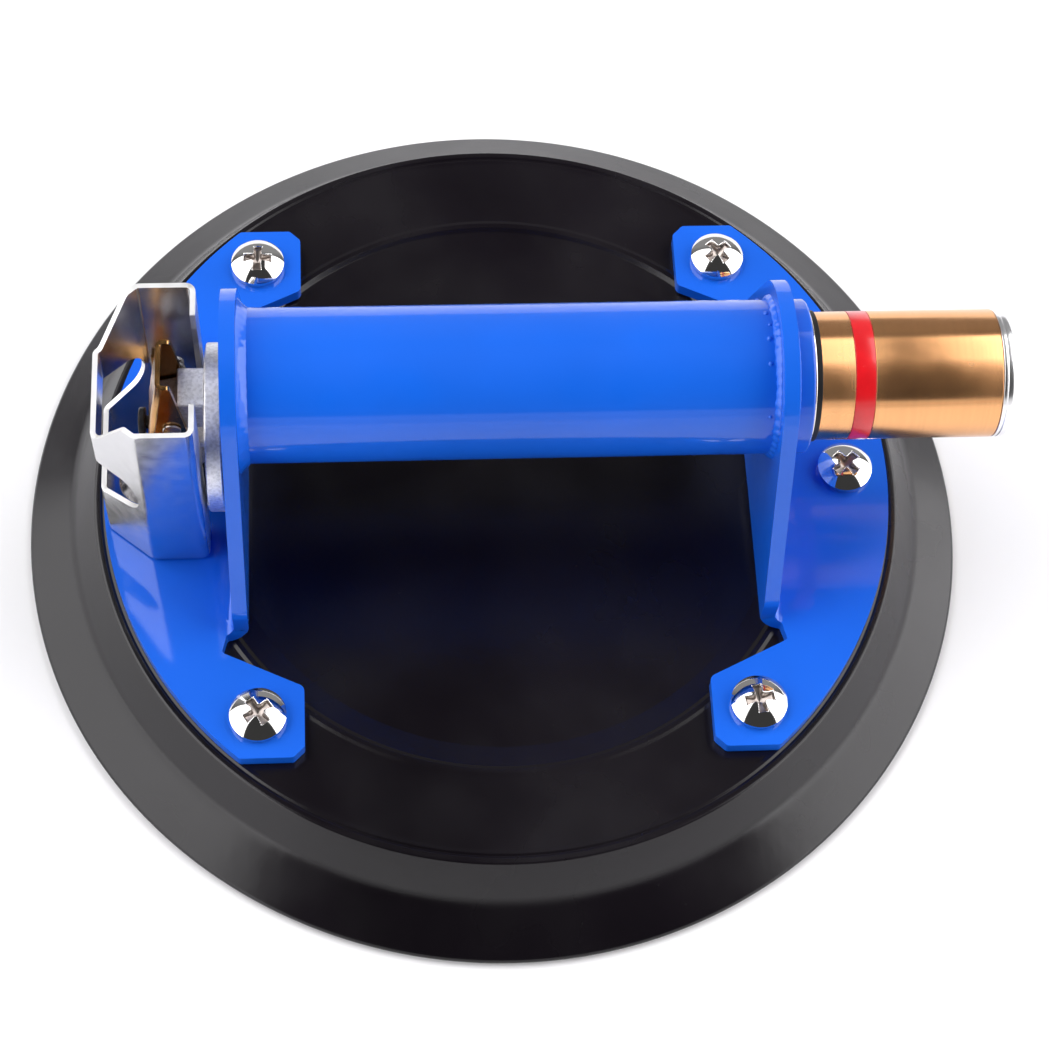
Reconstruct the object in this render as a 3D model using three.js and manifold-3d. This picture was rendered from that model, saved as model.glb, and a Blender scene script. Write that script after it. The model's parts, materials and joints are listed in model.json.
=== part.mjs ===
// Hand-held vacuum lifting cup: a round rubber pad under a steel bridge handle.
// The handle tube holds a spring-out hand pump (plunger at +X). A release lever
// hangs on the valve body at the other end (-X).
// Millimetres, +Z up. Origin: pad axis on the sealing plane. +X along the handle.
import * as THREE from "three";
import { mergeVertices } from "three/addons/utils/BufferGeometryUtils.js";
import Module from "manifold-3d";

const wasm = await Module();
wasm.setup();

// ---- driving dimensions -------------------------------------------------
const GAP = 0.2; // clearance between pieces that touch
const SHEET = 3.2; // steel plate of the two brackets

// rubber pad
const PAD_RADIUS = 105;
const PAD_TOP = 18.7; // flat ring that carries the brackets
const PAD_EDGE = 1.8; // height of the skirt's widest point
const PAD_CREASE = { r: 96.4, z: 11.6 }; // where the soft skirt starts
const PAD_SHOULDER = { r: 91.4, z: 16.5 }; // top of the sloping band
const PAD_RIDGE_RADIUS = 89; // outer edge of the flat ring
const PAD_DISH = { outer: 68.2, inner: 61.5, z: 17 }; // shallow dish in the top
const PAD_LAND = 2; // height of the underside inside the lip
const LIP = { start: 90, inner: 98, outer: 103.6 }; // flat sealing ring
const INSERT = { inner: 72.4, outer: 84, low: 10.3, high: 13.3, boss: 5, bossTop: 18.4 };
const FILTER = { r: 6.7, low: PAD_LAND + GAP, high: 4.8 };

// screws that hold the brackets to the pad
const SCREW_CIRCLE = 77;
const SCREW_SPREAD = THREE.MathUtils.degToRad(46.6);
const SCREW = { head: 6, headHeight: 3.9, shank: 3, length: 11.6 };

// brackets
const PLATE_TOP = PAD_TOP + SHEET;
const BRACKET = { arc: 86.5, end: 65.2, inner: 43.2, cut: 2.2, tab: 49.2 };
const FOLD = { x: 60, inside: 2 }; // bend line and inside radius of the leg
const LEG = { half: 36.8, shoulder: 30, top: 20 }; // half width, height, top radius
const NOTCH = { x: 60.3, y: 40.7 };
const LEG_OUT = FOLD.x - FOLD.inside; // outer face of a leg
const LEG_IN = LEG_OUT - SHEET; // inner face of a leg

// handle tube and pump
const AXIS_Z = 63.85;
const TUBE = { outer: 16, inner: 14.5, end: 62 };
const PLUNGER = { outer: 13.3, inner: 11.8, start: 20.2, end: 101 };
const BAND = { from: 70.5, to: 74.8 };
const STOP = { from: 47.4, to: 49.6 };
const PISTON = { front: 9.6, step: 12, land: 16, shoulder: 20, spigot: 28 };
const PISTON_RADIUS = { nose: 12.6, neck: 10.5, land: 13.6 };
const CAP = { spigot: 7, edge: 2.4, face: 3.8, round: 1.5 }; // lengths from the tube's end
const BUSH = { from: 52.4, wiper: 49.8, out: 0.5 }; // guide bush, and the wiper behind it
const FLAP = { r: 7.4, stem: 1.5, edge: 0.7, crown: 1.8, into: 3 };
const PLUG = { from: -LEG_IN + 2 * GAP, to: -48 };
const PORT_Z = 58.3; // air port between valve body and pump
const PUMP_SPRING = { r: 9, wire: 0.8, turns: 9 };

// valve body, on the outer face of the left leg
const VALVE = { r: 17.9, z: 46.8, face: -62.2, back: -58.75 };
const TONGUE = { x: -67.7, half: 4.6, top: 64, low: 60.6, nose: -71.8 };
const PIVOT = { x: -69, z: 57, r: 1.5, over: 2.3, under: 2.2, head: 1, rivet: 0.4 };
const STEM_Z = 49.5;
const BOLTED = [-70, -50]; // x range of a hole through the left leg and what is bolted to it
const SEAT_X = -69.4;
const BOSS_RADIUS = 5.5;
const STEM = { r: 1.4, bore: 2, head: 3.2, collar: 2.6, seal: 4.3 };
const DUCT = { x: -66.6, r: 4, bore: 1.2, barb: 2.4, shelf: 36, top: 44.6 };
const GALLERY = 0.9; // drilling that joins the valve to the pump port
const HOSE = { r: 4.2, inner: 2.6, low: 24.8, high: 34.6 };
const VALVE_SCREW = { y: 12.2, z: 40, head: 3.4, headHeight: 0.6, shank: 1.9, length: 7 };

// release lever: a folded channel open towards the leg, a little off centre on its pin
const LEVER = { left: -85, bend: -75.3, open: -63.1, half: 18, wall: 9.9, lip: 10.2, y: -0.8 };
const LEVER_Z = { low: 22.6, rim: 63.5, top: 76.5 };
const RIM_RISE = { from: -83.5, to: -77.2 }; // where the rim climbs from low to high
const LEVER_SHEET = 1.1;
const WINDOW = { low: 40, high: 53, middle: 47.3, tall: 5.7, reach: 16.6, end: 3.1 };

// bronze bracket inside the lever: its top, waist and foot, and its sheet
const HINGE = { top: 73, half: 4.9, sheet: 1, waist: 53, low: 45, tab: 6 };
const HINGE_X = { web: -74.2, lean: -71.3, cheek: -68.4, nose: -65.9, strip: -71.8, wing: -70.6 };
const RETURN_SPRING = { r: 2.3, wire: 0.4, turns: 2.25, pitch: 1.1 };

// roundness
const FINE = 48;
const ROUND = 32;
const SMALL = 12;

// ---- solid helpers ------------------------------------------------------
function solid(geometry) {
  const bare = geometry.clone();
  bare.deleteAttribute("normal");
  bare.deleteAttribute("uv");
  const merged = mergeVertices(bare, 1e-4);
  const source = merged.index.array;
  const corners = [];
  for (let i = 0; i < source.length; i += 3) {
    const [a, b, c] = source.slice(i, i + 3);
    if (a !== b && b !== c && c !== a) corners.push(a, b, c);
  }
  return new wasm.Manifold(
    new wasm.Mesh({
      numProp: 3,
      vertProperties: merged.attributes.position.array,
      triVerts: new Uint32Array(corners),
    }),
  );
}

function geometryOf(body) {
  const mesh = body.getMesh();
  const geometry = new THREE.BufferGeometry();
  const points = new Float32Array(mesh.vertProperties);
  geometry.setAttribute("position", new THREE.BufferAttribute(points, 3));
  geometry.setIndex(new THREE.BufferAttribute(new Uint32Array(mesh.triVerts), 1));
  geometry.computeVertexNormals();
  return geometry;
}

const join = (...bodies) => bodies.reduce((all, one) => all.add(one));
const cut = (body, ...tools) => tools.reduce((left, tool) => left.subtract(tool), body);

// Profile points are [radius, height]; they run outwards, up and back in.
function revolve(points, segments, closed = false) {
  const profile = points.map(([r, h]) => new THREE.Vector2(r, h));
  if (closed) profile.push(profile[0].clone());
  return new THREE.LatheGeometry(profile, segments);
}

const aboutZ = (points, segments, closed) =>
  solid(revolve(points, segments, closed).rotateX(Math.PI / 2));

const aboutX = (points, segments, closed, y = 0, z = AXIS_Z) =>
  solid(revolve(points, segments, closed).rotateZ(-Math.PI / 2).translate(0, y, z));

const ring = (inner, outer, from, to) => [
  [inner, from],
  [outer, from],
  [outer, to],
  [inner, to],
];

const disc = (r, from, to) => [
  [0, from],
  [r, from],
  [r, to],
  [0, to],
];

const rodX = (r, from, to, y, z, segments = SMALL) =>
  aboutX(disc(r, from, to), segments, false, y, z);

const rodZ = (r, from, to, x, y, segments = SMALL) =>
  solid(revolve(disc(r, from, to), segments).rotateX(Math.PI / 2).translate(x, y, 0));

const rodY = (r, from, to, x, z, segments = SMALL) =>
  solid(revolve(disc(r, from, to), segments).translate(x, 0, z));

function box(low, high) {
  const size = high.map((value, i) => value - low[i]);
  const middle = high.map((value, i) => (value + low[i]) / 2);
  return solid(new THREE.BoxGeometry(...size).translate(...middle));
}

function outline(points) {
  return new THREE.Shape(points.map(([a, b]) => new THREE.Vector2(a, b)));
}

function extruded(shape, depth, curveSegments) {
  const options = { depth, bevelEnabled: false, curveSegments };
  return new THREE.ExtrudeGeometry(shape, options);
}

// Outline in (x, y), raised from one height to another.
const raised = (shape, from, to, curve = ROUND) =>
  solid(extruded(shape, to - from, curve).translate(0, 0, from));

// Outline in (y, z), swept along X.
function sweptX(shape, from, to, curve = ROUND) {
  const turn = new THREE.Matrix4().set(0, 0, 1, from, 1, 0, 0, 0, 0, 1, 0, 0, 0, 0, 0, 1);
  return solid(extruded(shape, to - from, curve).applyMatrix4(turn));
}

// Outline in (z, x), swept along Y.
function sweptY(shape, from, to, curve = ROUND) {
  const turn = new THREE.Matrix4().set(0, 1, 0, 0, 0, 0, 1, from, 1, 0, 0, 0, 0, 0, 0, 1);
  return solid(extruded(shape, to - from, curve).applyMatrix4(turn));
}

const side = (points) => outline(points.map(([x, z]) => [z, x]));

function helixX({ r, wire, turns }, from, to, steps) {
  class Coil extends THREE.Curve {
    getPoint(t, target = new THREE.Vector3()) {
      const angle = t * turns * 2 * Math.PI;
      const x = from + wire + t * (to - from - 2 * wire);
      return target.set(x, r * Math.cos(angle), AXIS_Z + r * Math.sin(angle));
    }
  }
  return sweptRound(new Coil(), wire, steps);
}

// curveSegments counts half of the section's sides.
function sweptRound(curve, radius, steps, halfSides = 3) {
  const section = new THREE.Shape().absarc(0, 0, radius, 0, 2 * Math.PI);
  const options = { steps, extrudePath: curve, bevelEnabled: false, curveSegments: halfSides };
  return solid(new THREE.ExtrudeGeometry(section, options));
}

// ---- materials ----------------------------------------------------------
const finish = (color, roughness, metalness) =>
  new THREE.MeshStandardMaterial({ color, roughness, metalness });

const RUBBER = finish(0x141216, 0.5, 0);
const SOFT_RUBBER = finish(0x0e0e10, 0.7, 0);
const ENAMEL = finish(0x1d5cd6, 0.22, 0.1);
const CHROME = finish(0xe4e6ea, 0.08, 1);
const STEEL = finish(0xb8bcc2, 0.3, 1);
const CAST = finish(0xc4c6c8, 0.45, 0.8);
const BRASS_GOLD = finish(0xd09a5c, 0.28, 1);
const RED = finish(0xdc1f26, 0.35, 0);
const SILVER = finish(0xd8dade, 0.3, 0.9);
const BRONZE = finish(0x9a6a34, 0.3, 1);
const DARK_STEEL = finish(0x2b2c2f, 0.45, 1);
const PLASTIC = finish(0xd8d6cf, 0.5, 0);
const FOAM = finish(0x8c8a84, 0.95, 0);

// ---- pad ----------------------------------------------------------------
// Three screws to each bracket: one beside the leg and one on each tab.
const screwPlaces = [0, Math.PI].flatMap((start) =>
  [0, SCREW_SPREAD, -SCREW_SPREAD].map((turn) => {
    const angle = start + turn;
    return [SCREW_CIRCLE * Math.cos(angle), SCREW_CIRCLE * Math.sin(angle)];
  }),
);

function padProfile() {
  return [
    [0, PAD_LAND],
    [LIP.start, PAD_LAND],
    [LIP.inner, 0],
    [LIP.outer, 0],
    [PAD_RADIUS - 0.3, PAD_EDGE - 1.1],
    [PAD_RADIUS, PAD_EDGE],
    [PAD_RADIUS - 0.6, PAD_EDGE + 1.1],
    [PAD_CREASE.r + 0.3, PAD_CREASE.z - 0.3],
    [PAD_CREASE.r - 0.7, PAD_CREASE.z + 0.6],
    [PAD_SHOULDER.r, PAD_SHOULDER.z],
    [PAD_RIDGE_RADIUS + 0.9, PAD_SHOULDER.z + 0.4],
    [PAD_RIDGE_RADIUS, PAD_TOP - 0.4],
    [PAD_RIDGE_RADIUS - 0.7, PAD_TOP],
    [PAD_DISH.outer, PAD_TOP],
    [PAD_DISH.outer - 1.2, PAD_TOP - 0.9],
    [PAD_DISH.inner, PAD_DISH.z],
    [0, PAD_DISH.z],
  ];
}

function insertShape(grow) {
  const { inner, outer, low, high, boss } = INSERT;
  const web = ring(inner - grow, outer + grow, low - grow, high + grow);
  const top = grow > 0 ? PAD_TOP + 1 : INSERT.bossTop;
  const bosses = screwPlaces.map(([x, y]) => rodZ(boss + grow, low - grow, top, x, y));
  return join(aboutZ(web, FINE, true), ...bosses);
}

function vacuumPad() {
  const port = rodZ(DUCT.r - 1, -1, PAD_TOP + 1, DUCT.x, 0);
  const recess = rodZ(FILTER.r + 0.3, -1, FILTER.high + GAP, DUCT.x, 0);
  return cut(aboutZ(padProfile(), FINE), insertShape(GAP), port, recess);
}

function insertRing() {
  const holes = screwPlaces.map(([x, y]) => rodZ(SCREW.shank + GAP, 0, PAD_TOP, x, y));
  return cut(insertShape(0), ...holes);
}

// ---- brackets -----------------------------------------------------------
function plateOutline() {
  const { arc, end, inner, cut: corner, tab } = BRACKET;
  const sweep = Math.asin(end / arc);
  const shape = new THREE.Shape();
  shape.absarc(0, 0, arc, -sweep, sweep, false);
  shape.lineTo(inner + corner, end);
  shape.lineTo(inner, end - corner);
  shape.lineTo(inner, tab);
  shape.lineTo(NOTCH.x, NOTCH.y);
  shape.lineTo(FOLD.x, LEG.half);
  shape.lineTo(FOLD.x, -LEG.half);
  shape.lineTo(NOTCH.x, -NOTCH.y);
  shape.lineTo(inner, -tab);
  shape.lineTo(inner, -end + corner);
  shape.lineTo(inner + corner, -end);
  return shape;
}

// Straight foot, then sides that run tangent to a round top.
function legOutline() {
  const reach = Math.hypot(LEG.half, LEG.shoulder - AXIS_Z);
  const toShoulder = Math.atan2(LEG.shoulder - AXIS_Z, LEG.half);
  const touch = toShoulder + Math.acos(LEG.top / reach);
  const shape = new THREE.Shape();
  const foot = PLATE_TOP + FOLD.inside;
  shape.moveTo(-LEG.half, foot);
  shape.lineTo(LEG.half, foot);
  shape.lineTo(LEG.half, LEG.shoulder);
  shape.absarc(0, AXIS_Z, LEG.top, touch, Math.PI - touch, false);
  shape.lineTo(-LEG.half, LEG.shoulder);
  return shape;
}

function foldOutline() {
  const centre = PLATE_TOP + FOLD.inside;
  const shape = new THREE.Shape();
  const outer = FOLD.inside + SHEET;
  shape.absarc(centre, FOLD.x, outer, -Math.PI, -Math.PI / 2, false);
  shape.absarc(centre, FOLD.x, FOLD.inside, -Math.PI / 2, -Math.PI, true);
  return shape;
}

function bracketBlank() {
  const nudge = 0.01; // lets the three stretches run into each other
  const plate = raised(plateOutline(), PAD_TOP, PLATE_TOP, 24);
  const fold = sweptY(foldOutline(), -LEG.half, LEG.half, 6);
  const leg = sweptX(legOutline(), LEG_IN, LEG_OUT, 16);
  const bridgeLow = box(
    [FOLD.x - nudge, -LEG.half, PAD_TOP],
    [FOLD.x + nudge, LEG.half, PLATE_TOP],
  );
  const foot = PLATE_TOP + FOLD.inside;
  const bridgeHigh = box([LEG_IN, -LEG.half, foot - nudge], [LEG_OUT, LEG.half, foot + nudge]);
  const holes = screwPlaces
    .filter(([x]) => x > 0)
    .map(([x, y]) => rodZ(SCREW.shank + 0.3, PAD_TOP - 1, PLATE_TOP + 1, x, y));
  return cut(join(plate, fold, leg, bridgeLow, bridgeHigh), ...holes);
}

function bracketRight() {
  return cut(bracketBlank(), rodX(TUBE.outer + GAP, LEG_IN - 1, LEG_OUT + 1, 0, AXIS_Z, ROUND));
}

function bracketLeft() {
  const blank = bracketBlank().rotate([0, 0, 180]);
  const port = rodX(DUCT.barb + 0.5, ...BOLTED, 0, PORT_Z);
  const duct = rodZ(DUCT.r - 1, PAD_TOP - 1, PLATE_TOP + 1, DUCT.x, 0);
  return cut(blank, port, duct, ...valveScrewHoles());
}

// Pan head with a cross recess; the origin is under the head on the screw's axis.
function crossScrew({ head, headHeight, shank, length }) {
  const profile = [
    [0, -length],
    [shank - 0.6, -length],
    [shank, -length + 0.6],
    [shank, 0],
    [head, 0],
    [head, 0.9],
    [head * 0.94, headHeight * 0.5],
    [head * 0.72, headHeight * 0.83],
    [head * 0.4, headHeight * 0.97],
    [0, headHeight],
  ];
  const slot = head * 0.52;
  const wide = head * 0.11;
  const floor = headHeight * 0.5;
  const arms = [
    box([-slot, -wide, floor], [slot, wide, headHeight + 1]),
    box([-wide, -slot, floor], [wide, slot, headHeight + 1]),
  ];
  return cut(aboutZ(profile, 16), ...arms);
}

// ---- pump ---------------------------------------------------------------
const handleTube = () =>
  aboutX(ring(TUBE.inner, TUBE.outer, -LEG_IN + GAP, TUBE.end), ROUND, true);

const guideBush = () =>
  aboutX(ring(PLUNGER.outer + 0.25, TUBE.inner - GAP, BUSH.from, TUBE.end + BUSH.out), ROUND, true);

const wiperRing = () =>
  aboutX(ring(PLUNGER.outer + GAP, TUBE.inner - GAP, BUSH.wiper, BUSH.from - GAP), ROUND, true);

function plungerTube() {
  const { outer, inner, start, end } = PLUNGER;
  const bandFloor = outer - 0.4;
  const stopFloor = outer - 0.5;
  const profile = [
    [inner, start],
    [outer, start],
    [outer, STOP.from],
    [stopFloor, STOP.from],
    [stopFloor, STOP.to],
    [outer, STOP.to],
    [outer, BAND.from],
    [bandFloor, BAND.from],
    [bandFloor, BAND.to],
    [outer, BAND.to],
    [outer, end],
    [inner, end],
  ];
  return aboutX(profile, ROUND, true);
}

function plungerCap() {
  const { outer, inner, end } = PLUNGER;
  const plug = inner - GAP;
  const profile = [
    [0, end - CAP.spigot],
    [plug, end - CAP.spigot],
    [plug, end + GAP],
    [outer, end + GAP],
    [outer, end + CAP.edge],
    [outer - CAP.round / 3, end + CAP.face - CAP.round / 3],
    [outer - CAP.round, end + CAP.face],
    [0, end + CAP.face],
  ];
  return aboutX(profile, ROUND);
}

const indicatorBand = () =>
  aboutX(ring(PLUNGER.outer - 0.3, PLUNGER.outer, BAND.from + 0.1, BAND.to - 0.1), ROUND, true);

const stopRing = () =>
  aboutX(ring(PLUNGER.outer - 0.3, TUBE.inner - 0.3, STOP.from + 0.1, STOP.to - 0.1), ROUND, true);

function pistonHead() {
  const { front, step, land, shoulder, spigot } = PISTON;
  const profile = [
    [0, front],
    [PISTON_RADIUS.nose, front],
    [PISTON_RADIUS.nose, step],
    [PISTON_RADIUS.neck, step],
    [PISTON_RADIUS.neck, land],
    [PISTON_RADIUS.land, land],
    [PISTON_RADIUS.land, shoulder],
    [PLUNGER.inner - GAP, shoulder],
    [PLUNGER.inner - GAP, spigot],
    [0, spigot],
  ];
  return aboutX(profile, ROUND);
}

// U-cup: its open side faces the pump chamber.
function pistonSeal() {
  const from = PISTON.step + GAP;
  const to = PISTON.land - GAP;
  const lip = TUBE.inner - GAP;
  const neck = PISTON_RADIUS.neck + GAP;
  const profile = [
    [neck, from],
    [neck + 0.9, from],
    [(neck + lip) / 2, from + 2],
    [lip - 0.9, from],
    [lip, from],
    [lip - 0.5, to],
    [neck, to],
  ];
  return aboutX(profile, ROUND, true);
}

function pumpEndPlug() {
  const body = rodX(TUBE.inner - GAP, PLUG.from, PLUG.to, 0, AXIS_Z, ROUND);
  const port = rodX(DUCT.bore + 0.3, PLUG.from - 1, PLUG.to + 1, 0, PORT_Z);
  const stem = rodX(FLAP.stem + GAP, PLUG.from + FLAP.into - 0.6, PLUG.to + 1, 0, AXIS_Z);
  return cut(body, port, stem);
}

// Rubber umbrella over the port, held by its own stem.
function inletFlap() {
  const seat = PLUG.to + GAP;
  const profile = [
    [0, PLUG.from + FLAP.into],
    [FLAP.stem, PLUG.from + FLAP.into],
    [FLAP.stem, seat],
    [FLAP.r, seat],
    [FLAP.r, seat + FLAP.edge],
    [2 * FLAP.stem, seat + FLAP.crown],
    [0, seat + FLAP.crown],
  ];
  return aboutX(profile, 24);
}

const pumpSpring = () =>
  helixX(PUMP_SPRING, PLUG.to + GAP, PISTON.front - GAP, 9 * PUMP_SPRING.turns);

// ---- valve body and air path ---------------------------------------------
function hingeLug() {
  const points = [
    [VALVE.face + 0.5, TONGUE.top],
    [TONGUE.x, TONGUE.top],
    [TONGUE.x, TONGUE.low],
    [TONGUE.nose, PIVOT.z + PIVOT.over],
    [TONGUE.nose, PIVOT.z - PIVOT.under],
    [VALVE.face + 0.5, PIVOT.z - PIVOT.under],
  ];
  return sweptY(side(points), -TONGUE.half, TONGUE.half);
}

function valveBody() {
  const { r, z, face, back } = VALVE;
  const flange = rodX(r, face, back, 0, z, ROUND);
  const boss = rodX(BOSS_RADIUS, SEAT_X, face + 0.5, 0, STEM_Z, 24);
  const duct = rodZ(DUCT.r, DUCT.shelf, DUCT.top, DUCT.x, 0);
  const barb = rodZ(DUCT.barb, HOSE.high - 4, DUCT.shelf + 0.5, DUCT.x, 0);
  const spigot = rodX(DUCT.barb, face, -LEG_IN - 0.3, 0, PORT_Z);
  const body = join(flange, boss, duct, barb, spigot, hingeLug());
  const galleryX = back - 2 * GALLERY;
  const stemBore = rodX(STEM.bore, SEAT_X - 1, back - 1.2, 0, STEM_Z, 16);
  const ductBore = rodZ(DUCT.bore, HOSE.low, STEM_Z, DUCT.x, 0);
  const spigotBore = rodX(DUCT.bore, galleryX, BOLTED[1], 0, PORT_Z);
  const gallery = rodZ(GALLERY, STEM_Z, PORT_Z, galleryX, 0);
  const pin = rodY(PIVOT.r + GAP, -LEVER.half, LEVER.half, PIVOT.x, PIVOT.z, 16);
  return cut(body, stemBore, ductBore, spigotBore, gallery, pin, ...valveScrewHoles());
}

// Clearance holes that run through the valve body, the gasket and the leg.
function valveScrewHoles() {
  const r = VALVE_SCREW.shank + 0.35;
  return [-1, 1].map((s) => rodX(r, ...BOLTED, s * VALVE_SCREW.y, VALVE_SCREW.z));
}

function valveGasket() {
  const sheet = rodX(VALVE.r - 0.4, VALVE.back + 0.1, -LEG_OUT - 0.1, 0, VALVE.z, ROUND);
  const port = rodX(DUCT.barb + 0.4, ...BOLTED, 0, PORT_Z);
  return cut(sheet, port, ...valveScrewHoles());
}

function valveScrew(sign) {
  const { y, z, head, headHeight, shank, length } = VALVE_SCREW;
  const profile = [
    [0, -length],
    [shank, -length],
    [shank, 0],
    [head, 0],
    [head * 0.9, headHeight],
    [0, headHeight],
  ];
  const screw = revolve(profile, SMALL).rotateZ(Math.PI / 2);
  return solid(screw.translate(VALVE.face - 0.05, sign * y, z));
}

function airHose() {
  const { r, inner, low, high } = HOSE;
  return cut(rodZ(r, low, high, DUCT.x, 0, 24), rodZ(inner, low - 1, high + 1, DUCT.x, 0));
}

// Barbed fitting that clamps through the bracket and the pad.
function baseFitting() {
  const flange = rodZ(DUCT.r, PLATE_TOP + GAP, HOSE.low - 0.5, DUCT.x, 0, 6);
  const barb = rodZ(DUCT.barb, PLATE_TOP + 1, HOSE.low + 4.6, DUCT.x, 0);
  const tail = rodZ(DUCT.r - 1 - GAP, FILTER.high + 2 * GAP, PLATE_TOP + 1, DUCT.x, 0);
  return cut(join(flange, barb, tail), rodZ(DUCT.bore, 0, HOSE.high, DUCT.x, 0));
}

const portFilter = () => rodZ(FILTER.r, FILTER.low, FILTER.high, DUCT.x, 0, 24);

// ---- release valve and lever ----------------------------------------------
// The head stands in front of the bronze web, and the collar behind it backs the seal.
function valveStem() {
  const { r, head, collar } = STEM;
  const profile = [
    [0, -6.9],
    [head, -6.9],
    [head, -5.5],
    [r, -5.5],
    [r, -3.2],
    [collar, -3.2],
    [collar, -2.1],
    [r, -2.1],
    [r, 6],
    [0, 6],
  ].map(([radius, fromSeat]) => [radius, SEAT_X - GAP + fromSeat]);
  return aboutX(profile, SMALL, false, 0, STEM_Z);
}

function valveSeal() {
  const face = SEAT_X - GAP;
  return aboutX(ring(STEM.r + GAP, STEM.seal, face - 1.9, face), 24, true, 0, STEM_Z);
}

function leverPlan(inset) {
  const { left, bend, open, half, wall } = LEVER;
  const slant = inset * Math.tan(Math.PI / 8);
  return [
    [open - inset, half - inset],
    [bend + slant, half - inset],
    [left + inset, wall - slant],
    [left + inset, -wall + slant],
    [bend + slant, -half + inset],
    [open - inset, -half + inset],
  ];
}

function releaseLever() {
  const { low, rim, top } = LEVER_Z;
  const { left, open, lip, y } = LEVER;
  const tube = cut(
    raised(outline(leverPlan(0)), low, top),
    raised(outline(leverPlan(LEVER_SHEET)), low - 1, top + 1),
  );
  const mouth = box([open - 3, -lip, low - 1], [open + 1, lip, top + 1]);
  const rimCut = side([
    [left - 5, rim],
    [RIM_RISE.from, rim],
    [RIM_RISE.to, top],
    [RIM_RISE.to, top + 5],
    [left - 5, top + 5],
  ]);
  const reach = 2 * LEVER.half;
  return cut(tube, mouth, sweptY(rimCut, -reach, reach), leverWindow()).translate([0, y, 0]);
}

// Long window across the outer wall, with a round end in each slanted wall.
function leverWindow() {
  const { low, high, middle, tall, reach, end } = WINDOW;
  const shape = new THREE.Shape();
  const centre = reach - end;
  shape.moveTo(-LEVER.wall, low);
  shape.lineTo(LEVER.wall, low);
  shape.absellipse(centre, middle, end, tall, -Math.PI / 2, Math.PI / 2, false, 0);
  shape.lineTo(LEVER.wall, high);
  shape.lineTo(-LEVER.wall, high);
  shape.absellipse(-centre, middle, end, tall, Math.PI / 2, 1.5 * Math.PI, false, 0);
  return sweptX(shape, LEVER.left - 5, LEVER.bend - LEVER_SHEET, 8);
}

// U-shaped bronze bracket: two cheeks astride the lug, a web, and two wings
// that are spot-welded to the lever's side walls.
function hingeBracket() {
  const { top, half, sheet, waist, low, tab } = HINGE;
  const { web, lean, cheek, nose, strip, wing } = HINGE_X;
  const outer = half + sheet;
  const cheekShape = side([
    [lean, top],
    [cheek, top],
    [nose, waist + 2],
    [nose - 0.6, waist],
    [strip, waist],
    [strip, low],
    [web, low],
    [web, waist + 1],
  ]);
  const front = side([
    [lean, top],
    [lean + sheet, top],
    [web + sheet, waist + 1],
    [web + sheet, low],
    [web, low],
    [web, waist + 1],
  ]);
  const cheeks = [-1, 1].map((s) => sweptY(cheekShape, ...span(s * half, s * outer)));
  const wings = [-1, 1].flatMap((s) => {
    const end = s * (LEVER.half - LEVER_SHEET - GAP) + LEVER.y;
    const [y0, y1] = span(s * half, end);
    const [t0, t1] = span(end - s * sheet, end);
    return [
      box([web, y0, low], [wing, y1, low + sheet]),
      box([web, t0, low], [wing, t1, low + tab]),
    ];
  });
  const body = join(sweptY(front, -outer, outer), ...cheeks, ...wings);
  const stem = rodX(STEM.collar, HINGE_X.web - 1, HINGE_X.lean, 0, STEM_Z, 16);
  const pin = rodY(PIVOT.r + GAP, -LEVER.half, LEVER.half, PIVOT.x, PIVOT.z, 16);
  return cut(body, stem, pin);
}

const span = (a, b) => [Math.min(a, b), Math.max(a, b)];

function leverPin() {
  const { x, z, r, head, rivet } = PIVOT;
  const { turns, pitch, wire } = RETURN_SPRING;
  const cheek = HINGE.half + HINGE.sheet + GAP;
  const seat = cheek + turns * pitch + 2 * wire + GAP;
  const shank = rodY(r, -cheek - rivet, seat + head, x, z, 16);
  const rivetHead = rodY(r + rivet, -cheek - rivet, -cheek, x, z, 16);
  return join(shank, rivetHead, rodY(r + 0.8, seat, seat + head, x, z, 16));
}

// Torsion coil on the pin. Its first leg bears on the valve body, its last on a wing.
function leverSpring() {
  const { r, wire, turns, pitch } = RETURN_SPRING;
  const start = HINGE.half + HINGE.sheet + GAP + wire;
  const end = start + turns * pitch;
  const firstLeg = VALVE.face - PIVOT.x - GAP;
  const lastLeg = PIVOT.z - HINGE.low - HINGE.sheet - GAP;
  const lead = 0.2; // share of the curve that each straight leg takes
  class Torsion extends THREE.Curve {
    getPoint(t, target = new THREE.Vector3()) {
      const part = THREE.MathUtils.clamp((t - lead) / (1 - 2 * lead), 0, 1);
      const angle = Math.PI / 2 + part * turns * 2 * Math.PI;
      const y = THREE.MathUtils.lerp(start, end, part);
      const before = Math.max(lead - t, 0) / lead;
      const after = Math.max(t - 1 + lead, 0) / lead;
      const along = after * lastLeg - before * firstLeg;
      const x = PIVOT.x + r * Math.cos(angle) - along * Math.sin(angle);
      const z = PIVOT.z + r * Math.sin(angle) + along * Math.cos(angle);
      return target.set(x, y, z);
    }
  }
  return sweptRound(new Torsion(), wire, 40);
}

// ---- assembly -----------------------------------------------------------
const cup = new THREE.Group();

function add(name, body, material) {
  const mesh = new THREE.Mesh(geometryOf(body), material);
  mesh.name = name;
  cup.add(mesh);
  return mesh;
}

add("vacuum_pad", vacuumPad(), RUBBER);
add("pad_insert_ring", insertRing(), STEEL);
add("bracket_left", bracketLeft(), ENAMEL);
add("bracket_right", bracketRight(), ENAMEL);
const screwBody = crossScrew(SCREW);
screwPlaces.forEach(([x, y], i) => {
  const screw = add("pad_screw_" + (i + 1), screwBody, CHROME);
  screw.position.set(x, y, PLATE_TOP + GAP);
});

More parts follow.
